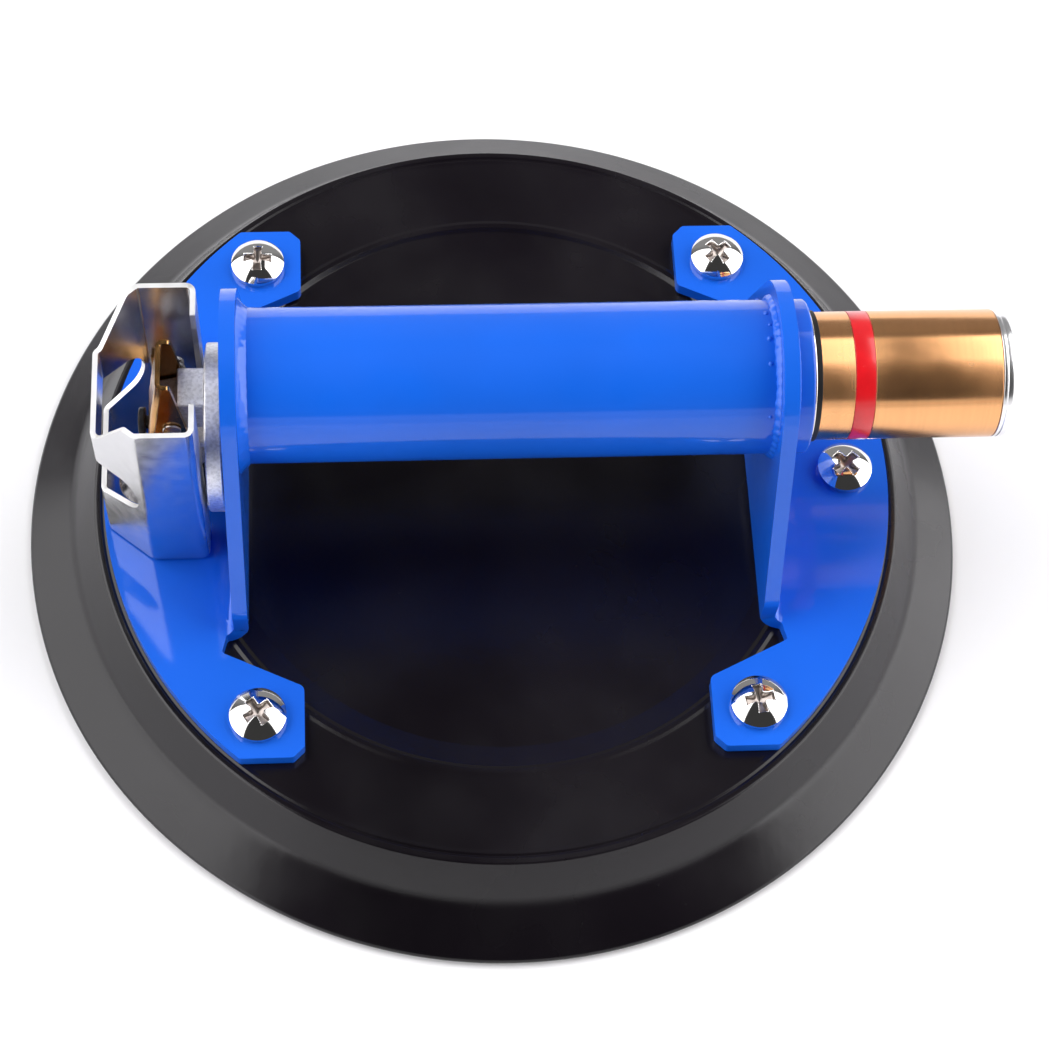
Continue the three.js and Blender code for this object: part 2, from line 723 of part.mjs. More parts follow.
add("handle_tube", handleTube(), ENAMEL);
add("guide_bush", guideBush(), CHROME);
add("wiper_ring", wiperRing(), SOFT_RUBBER);
add("pump_end_plug", pumpEndPlug(), PLASTIC);
add("inlet_flap_valve", inletFlap(), SOFT_RUBBER);
add("pump_spring", pumpSpring(), STEEL);
add("plunger_tube", plungerTube(), BRASS_GOLD);
add("plunger_cap", plungerCap(), SILVER);
add("indicator_band", indicatorBand(), RED);
add("plunger_stop_ring", stopRing(), STEEL);
add("piston_head", pistonHead(), PLASTIC);
add("piston_seal", pistonSeal(), SOFT_RUBBER);

add("valve_body", valveBody(), CAST);
add("valve_gasket", valveGasket(), SOFT_RUBBER);
add("valve_screw_front", valveScrew(-1), STEEL);
add("valve_screw_rear", valveScrew(1), STEEL);
add("air_hose", airHose(), SOFT_RUBBER);
add("base_fitting", baseFitting(), CAST);
add("port_filter", portFilter(), FOAM);

add("release_valve_stem", valveStem(), DARK_STEEL);
add("release_valve_seal", valveSeal(), SOFT_RUBBER);
add("release_lever", releaseLever(), CHROME);
add("lever_hinge_bracket", hingeBracket(), BRONZE);
add("lever_pin", leverPin(), STEEL);
add("lever_return_spring", leverSpring(), STEEL);

export default cup;
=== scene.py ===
"""Hand-held vacuum lifting cup: rubber pad, blue steel bridge handle with a gold pump
plunger, and a plated release lever. Outlines are in millimetres, objects in metres."""

import json
from math import acos, asin, atan2, cos, degrees, hypot, pi, radians, sin, sqrt, tan

import bmesh
import bpy
from mathutils import Matrix, Vector, noise
from mathutils.geometry import delaunay_2d_cdt


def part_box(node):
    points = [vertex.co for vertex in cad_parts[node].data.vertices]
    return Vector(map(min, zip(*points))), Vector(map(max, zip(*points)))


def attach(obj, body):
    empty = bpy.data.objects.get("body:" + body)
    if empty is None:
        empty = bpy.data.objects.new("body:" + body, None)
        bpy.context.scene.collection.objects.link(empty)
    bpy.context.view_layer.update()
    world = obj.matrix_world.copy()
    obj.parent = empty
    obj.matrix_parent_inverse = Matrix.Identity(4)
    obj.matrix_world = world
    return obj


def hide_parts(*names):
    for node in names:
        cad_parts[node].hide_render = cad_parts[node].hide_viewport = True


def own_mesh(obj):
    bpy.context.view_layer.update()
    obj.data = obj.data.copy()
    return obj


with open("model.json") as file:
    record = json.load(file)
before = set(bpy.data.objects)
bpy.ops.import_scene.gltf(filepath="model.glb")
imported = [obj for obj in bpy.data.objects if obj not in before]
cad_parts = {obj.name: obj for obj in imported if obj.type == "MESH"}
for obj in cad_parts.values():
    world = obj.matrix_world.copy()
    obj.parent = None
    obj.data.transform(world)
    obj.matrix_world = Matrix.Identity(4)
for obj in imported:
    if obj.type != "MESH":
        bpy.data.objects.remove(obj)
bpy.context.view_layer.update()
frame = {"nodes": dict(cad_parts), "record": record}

MM = 0.001


# ---- sizes read from the frame, in millimetres ----
def corners(node):
    low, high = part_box(node)
    return low / MM, high / MM


PAD_HIGH = corners("vacuum_pad")[1]
TUBE_LOW, TUBE_HIGH = corners("handle_tube")
PLUNGER_LOW, PLUNGER_HIGH = corners("plunger_tube")
CAP_HIGH = corners("plunger_cap")[1]
BAND_LOW, BAND_HIGH = corners("indicator_band")
BUSH_LOW, BUSH_HIGH = corners("guide_bush")
LEVER_LOW, LEVER_HIGH = corners("release_lever")
HINGE_LOW, HINGE_HIGH = corners("lever_hinge_bracket")
VALVE_LOW, VALVE_HIGH = corners("valve_body")
GASKET_LOW, GASKET_HIGH = corners("valve_gasket")
HOSE_LOW, HOSE_HIGH = corners("air_hose")
FITTING_LOW, FITTING_HIGH = corners("base_fitting")
FILTER_LOW, FILTER_HIGH = corners("port_filter")
STEM_LOW, STEM_HIGH = corners("release_valve_stem")
SEAL_LOW, SEAL_HIGH = corners("release_valve_seal")
PIN_LOW, PIN_HIGH = corners("lever_pin")

PAD_RADIUS = PAD_HIGH.x
PAD_TOP = PAD_HIGH.z
SHEET = 3.2  # bracket steel
PLATE_TOP = PAD_TOP + SHEET
AXIS_Z = (TUBE_LOW.z + TUBE_HIGH.z) / 2
TUBE_RADIUS = (TUBE_HIGH.z - TUBE_LOW.z) / 2
PLUNGER_RADIUS = (PLUNGER_HIGH.z - PLUNGER_LOW.z) / 2
DISC_RADIUS = VALVE_HIGH.y
DISC_Z = (GASKET_LOW.z + GASKET_HIGH.z) / 2
DUCT_X = (HOSE_LOW.x + HOSE_HIGH.x) / 2
STEM_Z = (STEM_LOW.z + STEM_HIGH.z) / 2
PIVOT = Vector(((PIN_LOW.x + PIN_HIGH.x) / 2, 0, (PIN_LOW.z + PIN_HIGH.z) / 2))

FOLD_X = 60.0  # bend line of the bracket legs
FOLD_INSIDE = 2.0
LEG_OUT = FOLD_X - FOLD_INSIDE
LEG_IN = LEG_OUT - SHEET
HANDLE = {"centre": (0, 0, AXIS_Z), "steps": 160}  # what is turned about the handle's axis


# ---- outline helpers ----
NEARLY_STRAIGHT = radians(89.5)  # half the angle at a corner that is left alone
LONGEST_REACH = 0.49  # share of a side that one rounded corner may take


def rounded(points, radius=0.0, closed=False, steps=5):
    """The outline with its corners rounded. A third value is that corner's own radius."""
    made = []
    last = len(points) - 1
    for i, point in enumerate(points):
        here = Vector(point[:2])
        wanted = point[2] if len(point) > 2 else radius
        if wanted <= 0 or (not closed and i in (0, last)):
            made.append(here)
            continue
        before = Vector(points[i - 1][:2]) - here
        after = Vector(points[(i + 1) % len(points)][:2]) - here
        half = before.angle(after) / 2
        if half > NEARLY_STRAIGHT:
            made.append(here)
            continue
        reach = min(wanted / tan(half), LONGEST_REACH * min(before.length, after.length))
        used = reach * tan(half)
        inward = (before.normalized() + after.normalized()).normalized()
        centre = here + inward * (used / sin(half))
        first = here + before.normalized() * reach - centre
        second = here + after.normalized() * reach - centre
        sweep = pi - 2 * half
        for k in range(steps + 1):
            t = k / steps
            blend = first * sin((1 - t) * sweep) + second * sin(t * sweep)
            made.append(centre + blend / sin(sweep))
    return made


def arc(centre, radius, start, end, steps):
    """Points of a round stretch; the angles are in degrees."""
    made = []
    for k in range(steps + 1):
        angle = radians(start + (end - start) * k / steps)
        made.append((centre[0] + radius * cos(angle), centre[1] + radius * sin(angle)))
    return made


# ---- mesh helpers ----
ON_AXIS = 1e-6  # a radius below this is a point on the axis
FACE_WEIGHT = 80  # how far large faces decide the shading of an edge
# where a point goes that lies at a, b across an axis and c along it
ALONG = {
    "X": lambda a, b, c: (c, a, b),
    "Y": lambda a, b, c: (a, c, b),
    "Z": lambda a, b, c: (a, b, c),
}


def in_scene(name, data):
    made = bpy.data.objects.new(name, data)
    bpy.context.scene.collection.objects.link(made)
    return made


def as_mesh(name, bm):
    """A mesh of the bmesh, which is freed."""
    mesh = bpy.data.meshes.new(name)
    bm.to_mesh(mesh)
    bm.free()
    return mesh


def new_object(name, mesh, sharp=38):
    """An object of a mesh or bmesh; edges of more than sharp degrees stay sharp."""
    if isinstance(mesh, bmesh.types.BMesh):
        mesh = as_mesh(name, mesh)
    mesh.name = name
    mesh.shade_smooth()
    mesh.set_sharp_from_angle(angle=radians(sharp))
    return in_scene(name, mesh)


def join_rings(bm, rings, closed=False):
    """Faces between neighbouring rings of vertices; a ring may repeat one vertex."""
    pairs = list(zip(rings, rings[1:]))
    if closed:
        pairs.append((rings[-1], rings[0]))
    for low, high in pairs:
        for k in range(len(low)):
            n = (k + 1) % len(low)
            loop = dict.fromkeys((low[k], low[n], high[n], high[k]))
            if len(loop) > 2:
                bm.faces.new(tuple(loop))


def modified(bm, *modifiers):
    """The bmesh after the given modifiers, each a (kind, settings) pair."""
    mesh = as_mesh("work", bm)
    work = in_scene("work", mesh)
    for kind, settings in modifiers:
        modifier = work.modifiers.new(kind, kind)
        for key, value in settings.items():
            setattr(modifier, key, value)
    depsgraph = bpy.context.evaluated_depsgraph_get()
    result = bmesh.new()
    result.from_object(work, depsgraph)
    bpy.data.objects.remove(work)
    bpy.data.meshes.remove(mesh)
    return result


def turned(points, axis="X", centre=(0, 0, 0), steps=96, ripple=None, lift=None):
    """A closed body of revolution from (radius, height) points in millimetres.

    ripple and lift are changes of radius and height over the surface.
    """
    bm = bmesh.new()
    place = ALONG[axis]
    rows = []
    for r, h in points:
        if r < ON_AXIS:
            middle = h + (lift(0, h, 0) if lift else 0)
            row = [bm.verts.new(place(0, 0, middle))] * steps
        else:
            row = []
            for k in range(steps):
                angle = 2 * pi * k / steps
                out = r + (ripple(r, h, angle) if ripple else 0)
                up = h + (lift(r, h, angle) if lift else 0)
                row.append(bm.verts.new(place(out * cos(angle), out * sin(angle), up)))
        rows.append(row)
    join_rings(bm, rows, closed=points[0][0] > ON_AXIS)
    bmesh.ops.recalc_face_normals(bm, faces=bm.faces)
    bmesh.ops.transform(bm, matrix=Matrix.Translation(centre), verts=bm.verts)
    bmesh.ops.scale(bm, vec=(MM, MM, MM), verts=bm.verts)
    return bm


def lathe(name, points, axis="X", centre=(0, 0, 0), steps=96):
    return new_object(name, turned(points, axis, centre, steps))


def filled(loops):
    """A flat mesh inside the first loop and outside the others."""
    points, edges = [], []
    for loop in loops:
        start = len(points)
        count = len(loop)
        points += [Vector(p[:2]) for p in loop]
        edges += [(start + i, start + (i + 1) % count) for i in range(count)]
    inner_faces, merging = 1, 1e-5
    coords, _, faces, *_ = delaunay_2d_cdt(points, edges, [], inner_faces, merging)
    bm = bmesh.new()
    verts = [bm.verts.new((p.x, p.y, 0)) for p in coords]
    holes = loops[1:]
    for face in faces:
        middle = sum((coords[i] for i in face), Vector((0, 0))) / len(face)
        if inside(middle, loops[0]) and not any(inside(middle, hole) for hole in holes):
            bm.faces.new([verts[i] for i in face])
    loose = [v for v in bm.verts if not v.link_faces]
    bmesh.ops.delete(bm, geom=loose, context="VERTS")
    return bm


def inside(point, loop):
    """Whether a point lies inside a closed loop."""
    found = False
    for i, here in enumerate(loop):
        before = loop[i - 1]
        if (here[1] > point[1]) != (before[1] > point[1]):
            share = (point[1] - here[1]) / (before[1] - here[1])
            if point[0] < here[0] + share * (before[0] - here[0]):
                found = not found
    return found


def folded(name, loops, place, thickness, cuts=(), edge=0.3, levels=3):
    """Sheet metal: a flat outline, creased along the cuts, folded by place() and thickened."""
    bm = filled(loops)
    for cut in cuts:
        geom = bm.verts[:] + bm.edges[:] + bm.faces[:]
        bmesh.ops.bisect_plane(bm, geom=geom, plane_co=(cut, 0, 0), plane_no=(1, 0, 0))
    for v in bm.verts:
        v.co = Vector(place(v.co.x, v.co.y)) * MM
    flat = {"angle_limit": radians(0.5), "delimit": {"NORMAL"}}
    bmesh.ops.dissolve_limit(bm, verts=bm.verts, edges=bm.edges, **flat)
    solid = {"thickness": thickness * MM, "offset": 0, "use_even_offset": True}
    made = modified(bm, ("SOLIDIFY", solid), bevel(edge, levels, 50))
    bmesh.ops.recalc_face_normals(made, faces=made.faces)
    piece = new_object(name, made, sharp=60)
    weight_normals(piece)
    return piece


def bevel(edge, levels, sharp):
    """Rounds the edges of more than sharp degrees; edge is in millimetres."""
    settings = {"width": edge * MM, "segments": levels}
    return "BEVEL", {**settings, "limit_method": "ANGLE", "angle_limit": radians(sharp)}


def weight_normals(piece):
    modifier = piece.modifiers.new("even shading", "WEIGHTED_NORMAL")
    modifier.keep_sharp = True
    modifier.weight = FACE_WEIGHT


def block(points, axis, low, high, edge):
    """An outline swept along an axis, with its edges rounded, as a bmesh in metres."""
    place, bm = ALONG[axis], bmesh.new()
    rows = [[bm.verts.new(Vector(place(p[0], p[1], c)) * MM) for p in points] for c in (low, high)]
    bm.faces.new(rows[0])
    bm.faces.new(rows[1])
    join_rings(bm, rows)
    bmesh.ops.recalc_face_normals(bm, faces=bm.faces)
    return modified(bm, bevel(edge, 3, 30))


def joined(name, *parts):
    """Several bmeshes in one object."""
    whole = bmesh.new()
    for part in parts:
        mesh = as_mesh("part", part)
        whole.from_mesh(mesh)
        bpy.data.meshes.remove(mesh)
    made = new_object(name, whole, sharp=40)
    weight_normals(made)
    return made


WIRE_SIDES = 12
WIRE_END = (0.35, 0.8)  # radii of the rings that round a wire's end, as shares of its own


def wire(points, radius):
    """A round wire with rounded ends along points in millimetres, as a bmesh in metres."""
    bm = bmesh.new()
    path = [Vector(p) for p in points]
    tangents = []
    for i in range(len(path)):
        tangents.append((path[min(i + 1, len(path) - 1)] - path[max(i - 1, 0)]).normalized())
    across = tangents[0].orthogonal().normalized()
    rows = []

    def add_row(centre, tangent, size):
        nonlocal across
        across = (across - tangent * across.dot(tangent)).normalized()
        other = tangent.cross(across)
        row = []
        for k in range(WIRE_SIDES):
            angle = 2 * pi * k / WIRE_SIDES
            offset = (across * cos(angle) + other * sin(angle)) * size
            row.append(bm.verts.new((centre + offset) * MM))
        rows.append(row)

    for share in WIRE_END:
        lead = (1 - share) * radius
        add_row(path[0] - tangents[0] * lead, tangents[0], radius * share)
    for centre, tangent in zip(path, tangents):
        add_row(centre, tangent, radius)
    for share in reversed(WIRE_END):
        lead = (1 - share) * radius
        add_row(path[-1] + tangents[-1] * lead, tangents[-1], radius * share)
    join_rings(bm, rows)
    bm.faces.new(rows[0])
    bm.faces.new(rows[-1])
    bmesh.ops.recalc_face_normals(bm, faces=bm.faces)
    return bm


# ---- materials ----
MIDDLE = (0.3, 0.7)  # where most of a noise's values lie


class Graph:
    """The shader nodes of a material or of the world."""

    def __init__(self, owner):
        owner.use_nodes = True
        self.nodes, self.links = owner.node_tree.nodes, owner.node_tree.links

    def ranged(self, value, low, high, to_low=0.0, to_high=1.0):
        node = self.nodes.new("ShaderNodeMapRange")
        limits = {"From Min": low, "From Max": high, "To Min": to_low, "To Max": to_high}
        for key, number in limits.items():
            node.inputs[key].default_value = number
        self.links.new(value, node.inputs["Value"])
        return node.outputs["Result"]

    def combined(self, operation, first, second):
        node = self.nodes.new("ShaderNodeMath")
        node.operation = operation
        self.links.new(first, node.inputs[0])
        self.links.new(second, node.inputs[1])
        return node.outputs[0]


class Look(Graph):
    """A node material with a Principled shader."""

    def __init__(self, name, color, roughness, metallic=0.0, **inputs):
        self.material = bpy.data.materials.new(name)
        super().__init__(self.material)
        self.shader = self.nodes["Principled BSDF"]
        inputs |= {"Base_Color": (*color, 1), "Roughness": roughness, "Metallic": metallic}
        for key, value in inputs.items():
            self.shader.inputs[key.replace("_", " ")].default_value = value
        self.place = self.nodes.new("ShaderNodeTexCoord").outputs["Object"]
        self.bumped = None

    def stretched(self, scale):
        mapping = self.nodes.new("ShaderNodeMapping")
        mapping.inputs["Scale"].default_value = scale
        self.links.new(self.place, mapping.inputs["Vector"])
        return mapping.outputs["Vector"]

    def noise(self, scale, detail=3.0, stretch=(1, 1, 1)):
        node = self.nodes.new("ShaderNodeTexNoise")
        node.inputs["Scale"].default_value = scale
        node.inputs["Detail"].default_value = detail
        node.inputs["Roughness"].default_value = 0.5
        self.links.new(self.stretched(stretch), node.inputs["Vector"])
        return node.outputs["Fac"]

    def spots(self, scale):
        node = self.nodes.new("ShaderNodeTexVoronoi")
        node.inputs["Scale"].default_value = scale
        self.links.new(self.stretched((1, 1, 1)), node.inputs["Vector"])
        return node.outputs["Distance"]

    def mixed(self, share, first, second):
        node = self.nodes.new("ShaderNodeMix")
        node.data_type = "RGBA"
        self.links.new(share, node.inputs["Factor"])
        for slot, color in zip(("A", "B"), (first, second)):
            target = [i for i in node.inputs if i.name == slot and i.type == "RGBA"][0]
            if hasattr(color, "is_output"):
                self.links.new(color, target)
            else:
                target.default_value = (*color, 1)
        return [o for o in node.outputs if o.type == "RGBA"][0]

    def color(self, value):
        self.links.new(value, self.shader.inputs["Base Color"])

    def roughness(self, value):
        self.links.new(value, self.shader.inputs["Roughness"])

    def bump(self, height, strength, distance):
        node = self.nodes.new("ShaderNodeBump")
        node.inputs["Strength"].default_value = strength
        node.inputs["Distance"].default_value = distance
        self.links.new(height, node.inputs["Height"])
        if self.bumped:
            self.links.new(self.bumped, node.inputs["Normal"])
        self.bumped = node.outputs["Normal"]
        self.links.new(self.bumped, self.shader.inputs["Normal"])


def shade(color, share, plus=0.0):
    return tuple(min(c * share + plus, 1) for c in color)


def rubber_look(name, color, roughness, dust):
    look = Look(name, color, roughness, Specular_IOR_Level=0.42)
    cloud = look.ranged(look.noise(14, 4), 0.35, 0.7)
    base = look.mixed(cloud, color, shade(color, 1.8, 0.001))
    specks = look.ranged(look.spots(420), 0.06, 0.03)
    patches = look.ranged(look.noise(60), 0.55, 0.62)
    grime = look.combined("MULTIPLY", specks, patches)
    look.color(look.mixed(grime, base, (dust, dust, dust)))
    look.roughness(look.ranged(look.noise(35, 4), *MIDDLE, roughness - 0.06, roughness + 0.08))
    look.bump(look.noise(2600, 2), 0.1, 0.0001)
    look.bump(look.noise(90, 3), 0.1, 0.0008)
    return look.material


def enamel_look(name, color):
    look = Look(name, color, 0.5, Specular_IOR_Level=0.2, Coat_Weight=0.8, Coat_Roughness=0.07)
    look.color(look.mixed(look.ranged(look.noise(22), *MIDDLE), shade(color, 0.85), color))
    look.roughness(look.ranged(look.noise(60, 2), *MIDDLE, 0.45, 0.6))
    look.bump(look.noise(220, 2), 0.1, 0.0006)
    look.bump(look.noise(1400, 2), 0.05, 0.0001)
    return look.material


def plated_look(name, color, roughness, wave):
    look = Look(name, color, roughness, 1.0)
    look.color(look.mixed(look.ranged(look.noise(45), 0.35, 0.65), shade(color, 0.9), color))
    look.roughness(look.ranged(look.noise(400), *MIDDLE, roughness * 0.85, roughness * 1.2))
    look.bump(look.noise(70, 2), wave, 0.0008)
    look.bump(look.noise(900, 2, stretch=(1, 1, 0.06)), 0.08, 0.00004)
    return look.material


def turned_look(name, color, roughness, shine):
    """Metal turned on a lathe about X: fine rings and a stretched highlight."""
    look = Look(name, color, roughness, 1.0, Anisotropic=shine, Anisotropic_Rotation=0.25)
    tangent = look.nodes.new("ShaderNodeTangent")
    tangent.direction_type = "RADIAL"
    tangent.axis = "X"
    look.links.new(tangent.outputs["Tangent"], look.shader.inputs["Tangent"])
    rings = look.noise(1500, stretch=(1, 0.02, 0.02))
    look.color(look.mixed(look.ranged(rings, 0.35, 0.65), color, shade(color, 1.06)))
    look.roughness(look.ranged(look.noise(80), *MIDDLE, roughness * 0.85, roughness * 1.2))
    look.bump(rings, 0.03, 0.00003)
    return look.material


def cast_look(name, color, roughness):
    look = Look(name, color, roughness, 0.9)
    grain = look.noise(1400)
    look.color(look.mixed(look.ranged(grain, 0.35, 0.6), shade(color, 0.75), color))
    look.roughness(look.ranged(look.noise(200), *MIDDLE, roughness - 0.08, roughness + 0.1))
    look.bump(grain, 0.25, 0.00012)
    return look.material


def paint_look(name, color):
    look = Look(name, color, 0.3, Coat_Weight=0.6, Coat_Roughness=0.12)
    flecks = look.ranged(look.spots(900), 0.12, 0.05)
    base = look.mixed(look.ranged(look.noise(160), *MIDDLE), shade(color, 0.75), color)
    look.color(look.mixed(look.ranged(flecks, 0.6, 1.0, 0, 0.25), base, (0.9, 0.6, 0.55)))
    look.bump(look.noise(1500, stretch=(1, 0.05, 0.05)), 0.12, 0.00005)
    look.bump(look.noise(200, 2), 0.08, 0.0003)
    return look.material


def plastic_look(name, color):
    look = Look(name, color, 0.42)
    look.color(look.mixed(look.ranged(look.noise(50), *MIDDLE), shade(color, 0.85), color))
    look.bump(look.noise(1500, 2), 0.1, 0.0001)
    return look.material


def foam_look(name, color):
    look = Look(name, color, 0.95)
    cells = look.spots(1100)
    look.color(look.mixed(look.ranged(cells, 0.1, 0.5), shade(color, 0.25), color))
    look.bump(cells, 0.6, 0.0004)
    return look.material


FINISHES = {
    "black_rubber": (rubber_look, (0.003, 0.002, 0.0034), 0.22, 0.03),
    "soft_rubber": (rubber_look, (0.004, 0.004, 0.0045), 0.55, 0.015),
    "blue_enamel": (enamel_look, (0.001, 0.122, 0.74)),
    "screw_chrome": (plated_look, (0.86, 0.85, 0.83), 0.06, 0.03),
    "lever_chrome": (plated_look, (0.8, 0.8, 0.82), 0.22, 0.06),
    # the lever's cut edges: rougher, as cut metal is, and painted lighter than the chrome as a
    # highlight
    "cut_edge": (plated_look, (0.9, 0.9, 0.9), 0.5, 0.05),
    # painted shade: the screws' cross recesses are coloured a darker, brownish chrome
    "recess_chrome": (plated_look, (0.42, 0.37, 0.34), 0.32, 0.05),
    "black_oxide": (plated_look, (0.03, 0.03, 0.033), 0.4, 0.05),
    "zinc_steel": (plated_look, (0.55, 0.56, 0.58), 0.28, 0.05),
    "cast_zinc": (cast_look, (0.9, 0.9, 0.92), 0.42),
    "gold_anodised": (turned_look, (0.84, 0.43, 0.19), 0.24, 0.9),
    "satin_silver": (turned_look, (0.9, 0.9, 0.91), 0.24, 0.4),
    "red_band": (paint_look, (0.75, 0.006, 0.012)),
    "bronze": (plated_look, (0.62, 0.33, 0.12), 0.18, 0.12),
    "white_plastic": (plastic_look, (0.68, 0.67, 0.63)),
    "filter_foam": (foam_look, (0.25, 0.24, 0.22)),
}
LOOKS = {slot: make(slot, *values) for slot, (make, *values) in FINISHES.items()}


def dress(piece, slot, body, *nodes):
    """Gives a piece its material and body, and hides the CAD nodes it stands for."""
    piece.data.materials.append(LOOKS[slot])
    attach(piece, body)
    if nodes:
        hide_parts(*nodes)
    return piece


# ---- pad ----
RIM = {"edge": 1.6, "crease": (94.4, 9.4), "shoulder": 88.8, "groove": 87.1}
DISH = {"outer": 68.2, "inner": 61.5, "z": 17.0}
LAND = 2.0  # height of the underside inside the lip
GRIP_RINGS = (22.0, 38.0, 54.0)  # shallow rings moulded in the underside


def pad_profile():
    crease_r, crease_z = RIM["crease"]
    under = [(0, LAND)]
    for r in GRIP_RINGS:
        under += [(r - 1.6, LAND), (r - 1, LAND + 0.5), (r + 1, LAND + 0.5), (r + 1.6, LAND)]
    lip = [
        (90, LAND, 3),
        (98, 0.03, 2),
        (103.6, 0.0, 0.6),
        (PAD_RADIUS, RIM["edge"], 0.6),
        (PAD_RADIUS - 0.6, RIM["edge"] + 0.8, 1.2),
        (crease_r, crease_z, 9),
    ]
    shoulder = [
        (RIM["shoulder"], PAD_TOP - 0.05, 0.7),
        (RIM["groove"] + 0.5, PAD_TOP - 0.05, 0.3),
        (RIM["groove"], PAD_TOP - 0.4, 0.25),
        (RIM["groove"] - 0.5, PAD_TOP - 0.05, 0.3),
        (RIM["groove"] - 1.4, PAD_TOP - 0.2, 0.6),
    ]
    dish = [
        (DISH["outer"] + 1.4, PAD_TOP - 0.2, 0.6),
        (DISH["outer"] + 0.6, PAD_TOP - 0.05, 0.35),
        (DISH["outer"] - 0.4, PAD_TOP - 0.15, 0.35),
        (DISH["outer"] - 1.3, PAD_TOP - 0.85, 0.8),
        (DISH["inner"] + 0.6, DISH["z"] + 0.06, 2.5),
        (DISH["inner"] - 2.0, DISH["z"], 0.5),
        (0, DISH["z"]),
    ]
    return rounded(under, 0.3) + rounded(lip + shoulder + dish, steps=6)


def flex(r, h, angle):
    """A soft skirt is never quite round."""
    if r < RIM["crease"][0]:
        return 0
    share = (r - RIM["crease"][0]) / (PAD_RADIUS - RIM["crease"][0])
    return -0.12 * share * (1 + sin(3 * angle + 0.7) * sin(2 * angle))


def make_pad():
    body = turned(pad_profile(), "Z", steps=256, ripple=flex)
    pad = new_object("pad", body, sharp=55)
    pocket, below, above = FILTER_HIGH.y + 0.3, LAND - 2, LAND + 3
    hole = [(0, below), (pocket, below), (pocket, above), (0, above)]
    cutter = lathe("port_cutter", hole, "Z", (DUCT_X, 0, 0), 48)
    cut_away(pad, cutter)
    dress(pad, "black_rubber", "base", "vacuum_pad")


def cut_away(piece, cutter):
    """Takes the cutter out of the piece; the cutter goes."""
    modifier = piece.modifiers.new("cut", "BOOLEAN")
    modifier.operation = "DIFFERENCE"
    modifier.object = cutter
    modifier.solver = "EXACT"
    depsgraph = bpy.context.evaluated_depsgraph_get()
    made = bpy.data.meshes.new_from_object(piece.evaluated_get(depsgraph))
    piece.modifiers.clear()
    old = piece.data
    piece.data = made
    bpy.data.meshes.remove(old)
    bpy.data.objects.remove(cutter)
    made.shade_smooth()
    made.set_sharp_from_angle(angle=radians(50))


# ---- brackets ----
# the base plate: radius of its rim, half its length, inner edge, corner cut, start of the tab
BRACKET = {"arc": 86.5, "end": 65.2, "inner": 43.2, "cut": 2.4, "tab": 49.2}
LEG = {"half": 36.8, "shoulder": 30.0, "top": 20.0}
NOTCH = Vector((60.6, 40.9))  # corner between the base plate and the leg
FOLD_CUTS = 10
MID = FOLD_INSIDE + SHEET / 2  # radius of the fold's middle surface
FOLD_LENGTH = MID * pi / 2


def flat_leg(z):
    """Where a height on the leg lies in the unfolded sheet."""
    return FOLD_LENGTH + z - (PLATE_TOP + FOLD_INSIDE)


def bracket_outline():
    """The unfolded sheet: first value inwards from the fold line, second along Y."""
    end, inner, corner, tab = (BRACKET[k] for k in ("end", "inner", "cut", "tab"))
    sweep = degrees(asin(end / BRACKET["arc"]))
    half, shoulder, top = LEG["half"], LEG["shoulder"], LEG["top"]
    reach = hypot(half, shoulder - AXIS_Z)
    touch = degrees(atan2(shoulder - AXIS_Z, half) + acos(top / reach))
    rim = [(FOLD_X - x, y) for x, y in arc((0, 0), BRACKET["arc"], -sweep, sweep, 40)]
    upper = [
        (FOLD_X - inner - corner, end, 1.2),
        (FOLD_X - inner, end - corner, 1.2),
        (FOLD_X - inner, tab, 1.6),
        (FOLD_X - NOTCH.x, NOTCH.y, 0.8),
        (0.4, half + 0.2, 0.6),
        (4.2, half - 0.6, 1.5),
        (flat_leg(shoulder), half, 6),
    ]
    head = [(flat_leg(z), y) for y, z in arc((0, AXIS_Z), top, touch, 180 - touch, 36)]
    lower = [(p[0], -p[1], *p[2:]) for p in reversed(upper)]
    rim[0] = (*rim[0], 1.2)
    rim[-1] = (*rim[-1], 1.2)
    return rounded(rim + upper + head + lower, closed=True)


def place_bracket(side):
    def place(s, y):
        if s <= 0 or abs(y) > LEG["half"] + 2:
            return side * (FOLD_X - s), y, PLATE_TOP - SHEET / 2
        if s < FOLD_LENGTH:
            angle = s / MID
            x = FOLD_X - MID * sin(angle)
            return side * x, y, PLATE_TOP + FOLD_INSIDE - MID * cos(angle)
        return side * (LEG_OUT - SHEET / 2), y, PLATE_TOP + FOLD_INSIDE + s - FOLD_LENGTH

    return place


def make_bracket(hand, side):
    """side is 1 at the plunger's end, where the tube passes through the leg, or -1."""
    loops = [bracket_outline()]
    if side > 0:
        loops.append(arc((flat_leg(AXIS_Z), 0), TUBE_RADIUS - 0.4, 0, 360, 64)[:-1])
    cuts = [FOLD_LENGTH * k / FOLD_CUTS for k in range(FOLD_CUTS + 1)]
    place, thickness = place_bracket(side), SHEET - 0.04
    piece = folded(f"{hand}_bracket", loops, place, thickness, cuts, edge=0.75, levels=4)
    dress(piece, "blue_enamel", "base", f"bracket_{hand}")


# ---- handle tube and its welds ----
def make_tube():
    wall = 1.5
    inner = TUBE_RADIUS - wall
    start, end = TUBE_LOW.x, TUBE_HIGH.x
    profile = [
        (inner, start),
        (TUBE_RADIUS, start),
        *((TUBE_RADIUS, x) for x in (-40, 0, 40)),
        (TUBE_RADIUS, end - 0.05, 0.9),
        (inner + 0.35, end - 0.05, 0.3),
        (inner, end - 0.8, 0.3),
        (inner, end - 2),
    ]
    tube = lathe("tube", rounded(profile), **HANDLE)
    dress(tube, "blue_enamel", "base", "handle_tube")


